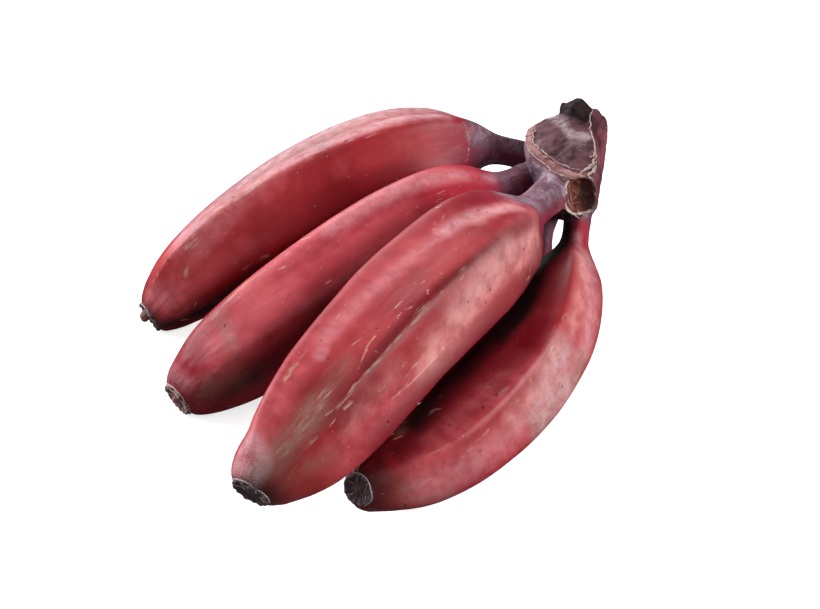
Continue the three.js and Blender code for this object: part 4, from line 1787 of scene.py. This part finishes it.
@dataclass
class Studio:
    """The pale table, the lights and the camera.

    Attributes:
        azimuth: degrees of the camera round the hand, 0 looking along +Y.
        elevation: degrees of the camera above level.
        distance: camera distance in millimetres.
        aim: the point looked at in millimetres, from the crown's own axes.
        lens: focal length in millimetres on a 36 mm film.
        table_half: half the table's side in metres.
        table_seen: strength of the table's own glow, which only the camera sees.
        table_grey: what the table throws back on the fruit.
        room: strength of the even white light from all sides.
        lamps: the soft lights.
    """

    azimuth: float = 45.0
    elevation: float = 36.0
    distance: float = 900.0
    aim: Triple = (0.0, 0.0, 25.0)
    lens: float = 109.76
    table_half: float = 3.0
    table_seen: float = 0.75
    table_grey: float = 0.12
    room: float = 0.09
    lamps: tuple[Lamp, ...] = (
        Lamp("window_left", -0.98, 0.36, 0.6, 0.85, 22.0, (0.97, 0.97, 1.0)),
        Lamp("window_right", 0.98, -0.15, 0.4, 0.6, 13.0, (1.0, 0.97, 0.96)),
        Lamp("rim_back", -0.35, 1.0, 0.6, 0.8, 9.5),
        Lamp("low_front", -0.55, -0.95, 0.12, 0.7, 1.9),
        Lamp("front_top", -0.1, -0.75, 0.95, 0.6, 2.4),
        Lamp("above", 0.05, -0.1, 1.3, 0.7, 1.5),
    )

    def camera_frame(self) -> tuple[Vector, Vector, Vector, Vector]:
        """Return the aim point and the camera's right, level-forward and up directions.

        Returns:
            The point and three directions.
        """
        turn = math.radians(self.azimuth)
        aim = Vector((np.array(self.aim) + HAND_SHIFT) * MM)
        return aim, Vector((math.cos(turn), math.sin(turn), 0)), Vector(
            (-math.sin(turn), math.cos(turn), 0)), Vector((0, 0, 1))

    def build(self) -> None:
        """Make the table, the world, the lamps and the camera."""
        self.table()
        self.world()
        for lamp in self.lamps:
            self.light(lamp)
        self.camera()
        bpy.context.scene.view_settings.view_transform = "Standard"

    def table(self) -> None:
        """Make the pale table, which throws little light back on the fruit."""
        deselect_all()
        bpy.ops.mesh.primitive_plane_add(size=2 * self.table_half, location=(0, 0, 0))
        table = bpy.context.object
        table.name = "table"
        material = bpy.data.materials.new("pale table")
        material.use_nodes = True
        nodes = Nodes(material.node_tree)
        shader = nodes.tree.nodes["Principled BSDF"]
        shader.inputs["Base Color"].default_value = (0.78, 0.78, 0.78, 1)
        shader.inputs["Roughness"].default_value = 0.9
        shader.inputs["Specular IOR Level"].default_value = 0.0
        glow = nodes.add("Emission", {"Color": (1, 1, 1, 1), "Strength": self.table_seen})
        lit = nodes.add("AddShader", {0: shader.outputs[0], 1: glow.outputs[0]})
        grey = nodes.add("BsdfDiffuse", {"Color": (*[self.table_grey] * 3, 1)})
        seen = nodes.add("LightPath").outputs["Is Camera Ray"]
        mixed = nodes.add("MixShader", {0: seen, 1: grey.outputs[0], 2: lit.outputs[0]})
        nodes.feed(nodes.tree.nodes["Material Output"].inputs[0], mixed.outputs[0])
        table.data.materials.append(material)

    def world(self) -> None:
        """Light the room with an even white."""
        world = bpy.data.worlds.new("studio")
        world.use_nodes = True
        background = world.node_tree.nodes["Background"]
        background.inputs[0].default_value = (1, 1, 1, 1)
        background.inputs[1].default_value = self.room
        bpy.context.scene.world = world

    def light(self, lamp: Lamp) -> None:
        """Place one soft light, aimed at the hand.

        Args:
            lamp: the lamp to place.
        """
        aim, right, away, up = self.camera_frame()
        place = aim + right * lamp.right + away * lamp.away + up * lamp.up
        data = bpy.data.lights.new(lamp.name, "AREA")
        data.shape = "SQUARE"
        data.size = lamp.size
        data.energy = lamp.power
        data.color = lamp.colour
        self.aimed(lamp.name, data, place)

    def camera(self) -> None:
        """Place the camera."""
        aim, _, away, up = self.camera_frame()
        rise = math.radians(self.elevation)
        place = aim + (up * math.sin(rise) - away * math.cos(rise)) * self.distance * MM
        data = bpy.data.cameras.new("camera")
        data.lens = self.lens
        data.sensor_width = 36.0
        data.clip_end = 20.0
        bpy.context.scene.camera = self.aimed("camera", data, place)

    def aimed(self, name: str, data: bpy.types.ID, place: Vector) -> Piece:
        """Put a lamp or a camera at a place, aimed at the hand, and return it.

        Args:
            name: its name.
            data: the lamp or the camera.
            place: where it stands, in metres.
        Returns:
            The new object.
        """
        thing = bpy.data.objects.new(name, data)
        thing.location = place
        thing.rotation_euler = (self.camera_frame()[0] - place).to_track_quat("-Z", "Y").to_euler()
        bpy.context.scene.collection.objects.link(thing)
        return thing


# the darkest red, the body red and the warm red of each finger
PALETTE = {
    1: ("#761119", "#961e27", "#9c2b2b"),
    2: ("#851a28", "#a52a37", "#a83a3e"),
    3: ("#7a161f", "#94222c", "#9e3632"),
    4: ("#851523", "#a32430", "#ac3b3a"),
    5: ("#741420", "#90222c", "#983436"),
}
# threads on each dried end as (thickness, path), how ragged it is, and its knob
END_DETAILS = {
    1: (((0.16, ((0.95, -70), (1.0, -20), (0.98, 40))), (0.14, ((0.9, 120), (0.5, 140)))), 0.45,
        (3.3, 2.4, 0.28, 5)),
    2: (((0.3, ((0.98, -100), (0.6, -80), (0.9, -30))), (0.26, ((0.95, 20), (0.4, 30), (0.2, -60))),
         (0.22, ((1.0, 60), (0.99, 110), (0.97, 160))), (0.25, ((0.9, -150), (0.3, 170))),
         (0.22, ((0.7, -60), (0.75, 10), (0.8, 60))), (0.24, ((1.0, -60), (1.04, -20), (1.0, 30))),
         (0.22, ((1.0, -170), (1.03, -130), (1.0, -90))), (0.2, ((0.9, 80), (0.35, 120)))), 0.8,
        (1.6, 1.3, 0.3, 120)),
    3: (((0.25, ((1.0, -110), (1.03, -70), (0.99, -40))), (0.25, ((0.95, -40), (0.4, -55))),
         (0.24, ((1.02, -20), (1.0, 20), (1.03, 60))), (0.24, ((0.95, 10), (0.3, 5))),
         (0.24, ((0.9, 60), (0.35, 80))), (0.22, ((0.9, -90), (0.45, -120))),
         (0.22, ((1.0, 90), (1.0, 130))), (0.24, ((0.8, -20), (0.5, 30), (0.3, 60)))), 0.35, None),
    4: (((0.24, ((1.0, 30), (1.0, -20), (0.98, -60), (1.0, -100), (0.98, -140))),
         (0.14, ((0.8, 10), (0.45, 30))), (0.13, ((0.75, 70), (0.4, 60))), (0.15, ((0.9, -40), (0.5, -60))),
         (0.13, ((0.8, 130), (0.4, 150))), (0.13, ((0.7, -120), (0.4, -90)))), 0.3, None),
    5: (((0.14, ((0.97, -60), (0.98, 20))),), 0.35, None),
}
SOCKET_THREADS = (
    (0.24, ((0.98, 10), (1.0, 50), (1.02, 90), (1.0, 130), (1.02, 170), (1.0, 200))),
    (0.14, ((0.78, 30), (0.8, 80), (0.76, 120), (0.7, 150))),
    (0.15, ((1.02, 190), (0.94, 205), (1.04, 225))),
    (0.12, ((0.6, 60), (0.62, 100), (0.5, 140))),
    (0.26, ((1.0, 150), (1.1, 165), (1.18, 172))),
    (0.24, ((1.0, 60), (1.12, 68), (1.16, 80))),
    (0.26, ((0.98, 185), (1.1, 195), (1.14, 200))),
    (0.22, ((1.0, 100), (1.1, 108), (1.14, 120))),
)
# pale edges on the crown as (half-thickness, path); a point is (along, across, height)
CROWN_CORDS = (
    (0.3, ((6, -14.4, 56), (-5, -15.6, 56), (-13, -14.2, 56), (-19, -10.6, 56), (-25, -6.2, 56),
            (-29, -2.2, 56), (-31, 2.5, 56))),
    (0.24, ((3, -11.5, 58), (-6, -12.2, 58), (-12, -10.6, 58), (-17, -7.6, 58), (-22, -3.6, 58),
            (-25.5, 0.6, 58), (-27, 5, 58))),
    (0.27, ((12.5, 10.8, 61), (9.5, 9.8, 60), (6.5, 9.0, 58), (0, 9.9, 57), (-8.8, 10.6, 57),
            (-15.6, 10.8, 57), (-23.4, 10.0, 56.5), (-27.3, 9.1, 56))),
    (0.5, ((-16, 10.4, 57), (-19.5, 8.8, 57), (-22, 9.6, 57))),
    (0.55, ((-20, 10.2, 57), (-23, 8.0, 57), (-25.5, 6.2, 57))),
    (0.5, ((-22, 9.8, 57), (-26, 8.4, 56.5), (-28.5, 6.0, 56))),
    (0.45, ((-24, 7.0, 57), (-27, 4.2, 56.5), (-29, 3.6, 56))),
    (0.35, ((-13, 10.2, 57), (-16, 9.4, 57), (-17.5, 7.8, 57))),
)
# Far finger: the pale wax along the upper flank is mostly a painted highlight, the coral pink partly painted
# light, and the deep red, maroon and nearly black strokes on the underside are painted shade; the maroon ring
# at the tip is its own colour.
FAR_FINGER_MARKS = strokes_of({Mark.BLOOM: (
    (5.5, .6, (.24, 20), (.33, 16), (.43, 18), (.54, 12), (.64, 6)),
    (9, 1, (.25, 38), (.35, 40), (.45, 40), (.55, 36), (.65, 30), (.75, 22), (.82, 14)),
    (4, .5, (.66, -2), (.74, -4), (.8, -8)), (5, .3, (.965, -25), (.94, -45)),
    (4.5, .95, (.27, -10), (.34, -7), (.42, -5), (.5, -4), (.58, -3), (.66, -3)),
    (4, .25, (.7, -16), (.76, -20), (.82, -27)), (3, .7, (.191, -15), (.149, -18), (.114, -33)),
    (2.5, .6, (.209, -41), (.174, -40)),
), Mark.BLUSH_AND_LIGHT: (
    (6.5, 1, (.975, -25), (.95, -45), (.9, -50), (.95, -70)),
    (5.5, .9, (.6, -3), (.7, 0), (.78, 2), (.87, 2)),
    (5, .9, (.62, -22), (.7, -20), (.78, -24), (.86, -32), (.92, -40)),
    (5, .3, (.732, -32), (.641, -34), (.544, -38), (.44, -44), (.31, -45)),
    (5, .4, (.889, -53), (.81, -54), (.746, -54)),
), Mark.CRIMSON: (
    (6, .7, (.36, -66), (.46, -68), (.56, -70), (.66, -74)),
), Mark.DARK_AND_SHADE: (
    (3.5, .7, (1, -130), (1, -80), (1, -30), (1, 20)),
    (5, .9, (.99, -100), (.95, -105), (.87, -108), (.8, -108), (.7, -106)),
    (6, .6, (.42, -94), (.56, -92), (.68, -96)), (5, .45, (.947, -93), (.879, -87), (.807, -92), (.734, -86)),
), Mark.SHADE: (
    (5.5, .6, (.36, -96), (.5, -97), (.6, -99), (.7, -101), (.8, -107), (.9, -116)),
), Mark.OCHRE: (
    (2, .6, (.42, 5), (.5, 4), (.58, 2), (.66, 0), (.74, -4), (.8, -8)),
    (7, .45, (.28, 28), (.4, 30), (.5, 28), (.6, 22), (.7, 14), (.78, 6)),
), Mark.SCURF: (
    (1.1, .9, (.606, -11), (.641, -12), (.673, -13), (.704, -13)), (2.2, .8, (.812, -18), (.836, -20)),
    (1.3, .8, (.858, -33), (.876, -42)), (2.4, .45, (.38, -9), (.343, -11), (.296, -13)),
    (1.8, .5, (.734, -12), (.772, -13)), (.8, .8, (.224, -26), (.213, -49), (.217, -71), (.226, -82)),
), Mark.HAIR: (
    (1, .8, (.548, -13), (.529, -15), (.508, -17)), (1, .8, (.258, -61), (.23, -54)),
    (1.2, .7, (.732, -59), (.732, -65)), (1, .7, (.746, -36), (.744, -40)), (1, .7, (.247, -34), (.241, -38)),
)})
# Second finger: the pale wax on its top and the coral pink on its flanks are partly painted highlight and
# painted light; the deep red, maroon and nearly black strokes on the flank next to the front finger and on
# the underside are painted shade.
SECOND_FINGER_MARKS = strokes_of({Mark.BLOOM: (
    (4, .5, (.27, -6), (.33, 1), (.4, 6), (.48, 8), (.56, 8)), (1.8, .22, (.842, -41), (.835, -25)),
    (3.5, .4, (.985, 30), (.98, 0), (.975, -30)), (3, .6, (.21, -22), (.139, -17), (.102, -15)),
), Mark.BLUSH_AND_LIGHT: (
    (5, .85, (.7, -44), (.78, -45), (.84, -46), (.9, -48)),
    (5, .85, (.241, -13), (.294, -2), (.357, 6), (.418, 11), (.486, 13), (.558, 12), (.633, 8), (.704, 7),
     (.767, 6)), (5, .7, (.93, -55), (.87, -52), (.8, -54), (.73, -52)),
    (6, .7, (.866, -16), (.776, -13), (.683, -14), (.595, -18), (.5, -18), (.42, -20)),
), Mark.CRIMSON: (
    (5, .85, (.4, -28), (.5, -33), (.56, -36), (.61, -38), (.668, -42), (.72, -48), (.78, -52)),
), Mark.DARK_AND_SHADE: (
    (7, .7, (.42, -86), (.55, -88), (.7, -90), (.84, -91), (.95, -92)),
    (5, .6, (1, -120), (1, -60), (1, 0), (1, 60)),
    (6, .5, (.923, -104), (.849, -103), (.765, -85), (.664, -61)), (4, .5, (.97, 40), (.93, 30)),
    (3, .6, (.135, -67), (.0805, -58), (.0469, -46)),
), Mark.SHADE: (
    (6.2, .58, (.36, -44), (.436, -48), (.498, -51), (.556, -54), (.61, -57), (.668, -63), (.727, -71),
     (.783, -76), (.84, -82)),
), Mark.OCHRE: (
    (3.2, .4, (.858, -46), (.84, -22), (.83, 4)), (6, .7, (.953, -65), (.905, -75), (.854, -82)),
), Mark.SCURF: (
    (1.2, .7, (.684, 13), (.724, 15), (.766, 16), (.808, 14), (.844, 9)),
), Mark.HAIR: (
    (1.2, .8, (.636, -42), (.623, -42)), (1, .7, (.55, -9), (.55, -12)), (1, .7, (.458, 10), (.455, 7)),
)})
# Front finger: the light pink on the right flat is painted light, the pale wax and coral pink along the
# flanks are partly painted highlight and painted light, and the deep red and maroon strokes along the lower
# edge and beside the ridge are painted shade.
FRONT_FINGER_MARKS = strokes_of({Mark.BLOOM: (
    (3.6, .7, (.24, -20), (.3, -4), (.36, 5), (.42, 9)), (3, .35, (.4, 8), (.52, 12), (.62, 16), (.74, 17)),
    (6.5, .3, (.27, -56), (.317, -51), (.393, -53), (.468, -60), (.535, -64)),
    (2.2, .5, (.758, 11), (.77, 9)),
    (4, .9, (.98, 45), (.984, 15), (.985, -16), (.96, -14), (.945, 10), (.96, 35)),
    (2, .5, (.38, 10), (.343, 6)),
), Mark.BLUSH_AND_LIGHT: (
    (4.5, .8, (.88, 16), (.93, 10)),
    (5, .8, (.245, -20), (.298, -4), (.361, 5), (.428, 10), (.511, 13), (.588, 17), (.669, 18), (.749, 18),
     (.819, 15), (.881, 14), (.929, 11)),
    (9, .95, (.25, -64), (.314, -77), (.403, -81), (.496, -84), (.575, -85), (.646, -87), (.722, -86),
     (.797, -89), (.853, -90)), (5.5, 1, (.86, 12), (.9, 9), (.939, -4)),
), Mark.LIT_SALMON: (
    (9.5, 1, (.24, -66), (.3, -66), (.36, -62), (.43, -60), (.5, -66), (.56, -74), (.62, -82)),
    (5, .35, (.7, -62), (.76, -60), (.82, -66)), (3.5, .5, (.18, -4), (.25, -10), (.35, -6)),
), Mark.CRIMSON: (
    (4, .7, (.4, -98), (.5, -101), (.6, -103), (.7, -104), (.8, -108)),
    (4.5, .8, (.35, -90), (.45, -93), (.54, -97), (.63, -100), (.7, -101), (.78, -103)),
    (3.5, .7, (.22, -52), (.25, -46), (.32, -42)),
), Mark.DARK_AND_SHADE: (
    (7, .7, (.2, -104), (.35, -110), (.5, -108), (.65, -109), (.78, -114)),
    (2.4, .55, (.259, -45), (.375, -38), (.466, -35), (.548, -32), (.634, -32), (.694, -33), (.748, -36)),
    (5.5, .75, (1, -110), (1, -70), (1, -35)),
), Mark.OCHRE: (
    (5.5, .9, (.84, -27), (.883, -29), (.922, -30), (.965, -28)), (4.5, .4, (.76, -18), (.82, -23)),
    (5, .4, (.982, -59), (.935, -66), (.878, -80)),
), Mark.SCURF: (
    (1.2, .8, (.655, -73), (.685, -75)),
    (.8, .85, (.549, -36), (.588, -37), (.638, -37), (.679, -37), (.731, -39), (.768, -40), (.805, -41)),
    (3, .55, (.803, -22), (.854, -27), (.898, -32), (.936, -31)),
    (.9, .8, (.838, 19), (.813, 21), (.79, 22), (.768, 23)), (.8, .7, (.695, 21), (.685, 22)),
    (1.1, .9, (.817, -47), (.8, -48)), (.7, .8, (.687, -62), (.674, -62)), (.7, .7, (.749, -63), (.733, -64)),
    (4, .5, (.985, 40), (.982, 10), (.982, -20)), (1, .6, (.78, -39), (.805, -41), (.83, -42)),
), Mark.HAIR: (
    (1.1, .9, (.59, -83), (.63, -85), (.68, -86), (.72, -84)),
    (.9, .62, (.533, -11), (.506, -16), (.478, -19), (.446, -21), (.403, -20), (.363, -17)),
    (.9, .6, (.514, -22), (.49, -19), (.462, -23), (.434, -24)),
    (1, .9, (.739, -28), (.711, -22), (.689, -21)), (1, .8, (.718, -25), (.714, -33)),
    (1, .8, (.758, -32), (.725, -25)), (1, .8, (.724, -9), (.705, -12)),
    (1.2, .8, (.731, -83), (.705, -83), (.685, -82)), (1.2, .7, (.54, -43), (.552, -43)),
), Mark.SPOT: (
    (1.45, .9, (.301, -66)), (1.3, .8, (.377, -64)), (1.35, .9, (.502, -62)), (1.3, .8, (.504, -71)),
    (1.15, .8, (.426, -54)), (1.2, .8, (.473, -72)), (1.2, .7, (.509, -50)), (1.15, .7, (.419, -68)),
    (1.15, .7, (.335, -71)),
)})
# Right finger: the pale wax, coral pink and light pink on its right flank are partly painted highlight and
# painted light; the deep red on its left flank and the maroon and nearly black strokes along the flank and
# neck that face the front finger are painted shade.
RIGHT_FINGER_MARKS = strokes_of({Mark.BLOOM: (
    (8, .4, (.66, -73), (.75, -76), (.83, -80), (.9, -78)),
    (5, .65, (.17, -46), (.22, -52), (.28, -58), (.34, -68), (.4, -80)),
    (8, .9, (.47, -56), (.54, -66), (.6, -84), (.5, -86)),
    (5, .45, (.258, -66), (.36, -75), (.448, -77), (.535, -75)), (2.5, .5, (.106, -11), (.167, -26)),
), Mark.BLUSH_AND_LIGHT: (
    (6.5, 1, (.56, -17), (.63, -17), (.7, -19), (.77, -23), (.84, -28)), (6, .9, (.88, -50), (.93, -68)),
    (8, .85, (.213, -32), (.275, -53), (.347, -65), (.424, -71), (.502, -73), (.587, -73), (.667, -72),
     (.739, -76), (.814, -79), (.882, -78)), (5, .4, (.951, -79), (.862, -91), (.771, -92)),
), Mark.LIT_SALMON: (
    (4.5, .8, (.2, -26), (.25, -33), (.3, -38), (.36, -42), (.4, -45)),
    (5.5, .8, (.47, -48), (.52, -52), (.58, -56), (.66, -62)),
), Mark.CRIMSON: (
    (5.5, .9, (.22, 0), (.27, -6), (.33, -9), (.42, -12), (.5, -12), (.58, -8)),
), Mark.DARK_AND_SHADE: (
    (7, .7, (1, -150), (1, -90), (1, -30), (.99, 30), (.97, 60)), (6, .7, (.975, -10), (.95, 10), (.92, 20)),
    (7, 1, (.02, 75), (.065, 69), (.108, 56), (.16, 32), (.2, 22)),
    (7.5, 1, (.18, 38), (.25, 30), (.3, 24), (.38, 20), (.48, 23), (.57, 25), (.65, 25), (.72, 20), (.78, 12),
     (.84, 5), (.9, -2)), (5, .8, (.15, 22), (.2, 10), (.235, 8)),
    (3, .85, (.993, 19), (.957, 15), (.869, 20), (.764, 27)),
), Mark.SHADE: (
    (6, 1, (.03, 78), (.065, 72), (.108, 60), (.16, 42), (.25, 34), (.3, 30), (.38, 28), (.48, 32), (.57, 36),
     (.65, 38), (.72, 35), (.78, 27), (.84, 17)),
), Mark.OCHRE: (
    (7, .4, (.45, -58), (.5, -68), (.56, -82)), (6, .75, (.44, -88), (.5, -86), (.558, -82), (.6, -90)),
    (5, .5, (.98, -50), (.95, -72), (.93, -85)), (2, .8, (.882, 18), (.805, 24)),
    (4, .45, (.969, -95), (.905, -104), (.844, -109)),
), Mark.SCURF: (
    (6, .5, (.5, -46), (.54, -52), (.58, -62), (.62, -74)),
    (5, .5, (.42, -80), (.49, -80), (.55, -88), (.6, -95)),
    (4.5, .5, (.313, -82), (.368, -85), (.444, -88), (.519, -87), (.589, -86)),
    (5, .5, (.662, -8), (.655, -26), (.646, -42)), (.8, .7, (.73, -51), (.771, -56), (.805, -63)),
    (.7, .7, (.871, -101), (.889, -102)), (.8, .6, (.606, -60), (.637, -61)),
    (.8, .6, (.689, -75), (.719, -78)),
), Mark.HAIR: (
    (1, .7, (.963, -66), (.953, -62)),
)})
FINGERS = (
    Finger(1, (-28.5, 93.0, 32.443), (253, 250), (36, -37.5), 171, 18.5, 0.7,
           ((0, -10), (0.25, -24), (0.45, -22), (0.6, -16), (0.75, -10), (1, -10)), (256, -22), neck=0.015,
           crisp=11.0, hollow=0.015, sway_tip=(-1.0, 2.0), plum=(0.212, 0.0, 0.0), lilac=0.55,
           strokes=FAR_FINGER_MARKS),
    Finger(2, (-13.5, 80.5, 36.553), (280, 251), (21.5, -30), 173, 19.6, 0.7,
           ((0, -55), (0.7, -52), (1, -48)), (264, -18.5), neck=0.05, crisp=8.5, sway_tip=(-0.4, 0.8),
           plum=(0.15, 0.055, -80.0), lilac=0.2, strokes=SECOND_FINGER_MARKS),
    Finger(3, (10.5, 65.0, 48.0), (287, 269), (9.5, -27.5), 190, 20.6, -0.7,
           ((0, -42), (0.25, -40), (0.37, -36), (0.6, -33), (0.8, -40), (0.91, -50), (1, -72)), (282, -24),
           neck=0.03, neck_width=1.15, crisp=14.5, hollow=0.035, sway_tip=(1.1, 0.0), sway_neck=(-0.7, 0.0),
           plum=(0.13, 0.075, 15.0), lilac=0.5, pared=(3.0, -105.0), strokes=FRONT_FINGER_MARKS),
    Finger(4, (13.0, 72.5, 39.043), (313.5, 254), (-17.5, 2.5), 165, 17.4, -0.15,
           ((0, -8), (0.18, -10), (0.27, -19), (0.4, -28), (0.6, -31), (0.75, -37), (1, -44)), (278, 14),
           neck=0.02, crisp=11.0, hollow=0.02, sway_middle=(-1.0, 0.0), sway_neck=(1.7, 0.0),
           plum=(0.05, 0.0, 0.0), strokes=RIGHT_FINGER_MARKS),
    Finger(5, (-9.4, 87.4, 24.302), (297, 267.5), (-10, 1), 156, 15.8, 0.7, ((0, -39), (1, -39)), (268, 10),
           sway_middle=(-1.2, 0.0), sides=20, rings=32),
)


def main() -> None:
    """Build the studio and every piece of the hand."""
    Studio().build()
    dried = DriedFinish().material()
    frayed = DriedFinish("frayed blossom end", "#3b2528", "#8a625d", "#cbb0a6", "#9a6a62", 0.75).material()
    for finger in FINGERS:
        peel = finger.build()
        deep, red, warm = PALETTE[finger.number]
        peel.data.materials.append(
            PeelFinish(f"red peel {finger.number}", 0.31 * finger.number, deep, red, warm).material())
        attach(peel, BODY)
        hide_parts(f"finger_{finger.number}")
        log.info("finger %d: %d faces", finger.number, len(peel.data.polygons))
        scar = blossom_end(finger).build()
        scar.data.materials.append(frayed if finger.number == FRAYED_END else dried)
        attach(scar, BODY)
        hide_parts(f"blossom_end_{finger.number}")
        log.info("blossom end %d: %d faces", finger.number, len(scar.data.polygons))
    crown = Crown(FINGERS)
    skin = crown.build()
    pieces = [(skin, "crown_skin", CrownFinish()), (crown.cords(skin), "crown_skin", CordFinish()),
              (crown.socket(), "crown_skin", SocketFinish())]
    for piece, slot, finish in pieces:
        piece.data.materials.append(finish.material())
        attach(piece, BODY)
        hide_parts("crown")
        log.info("%s: %d faces", piece.name, len(piece.data.polygons))


if __name__ == "__main__":
    main()
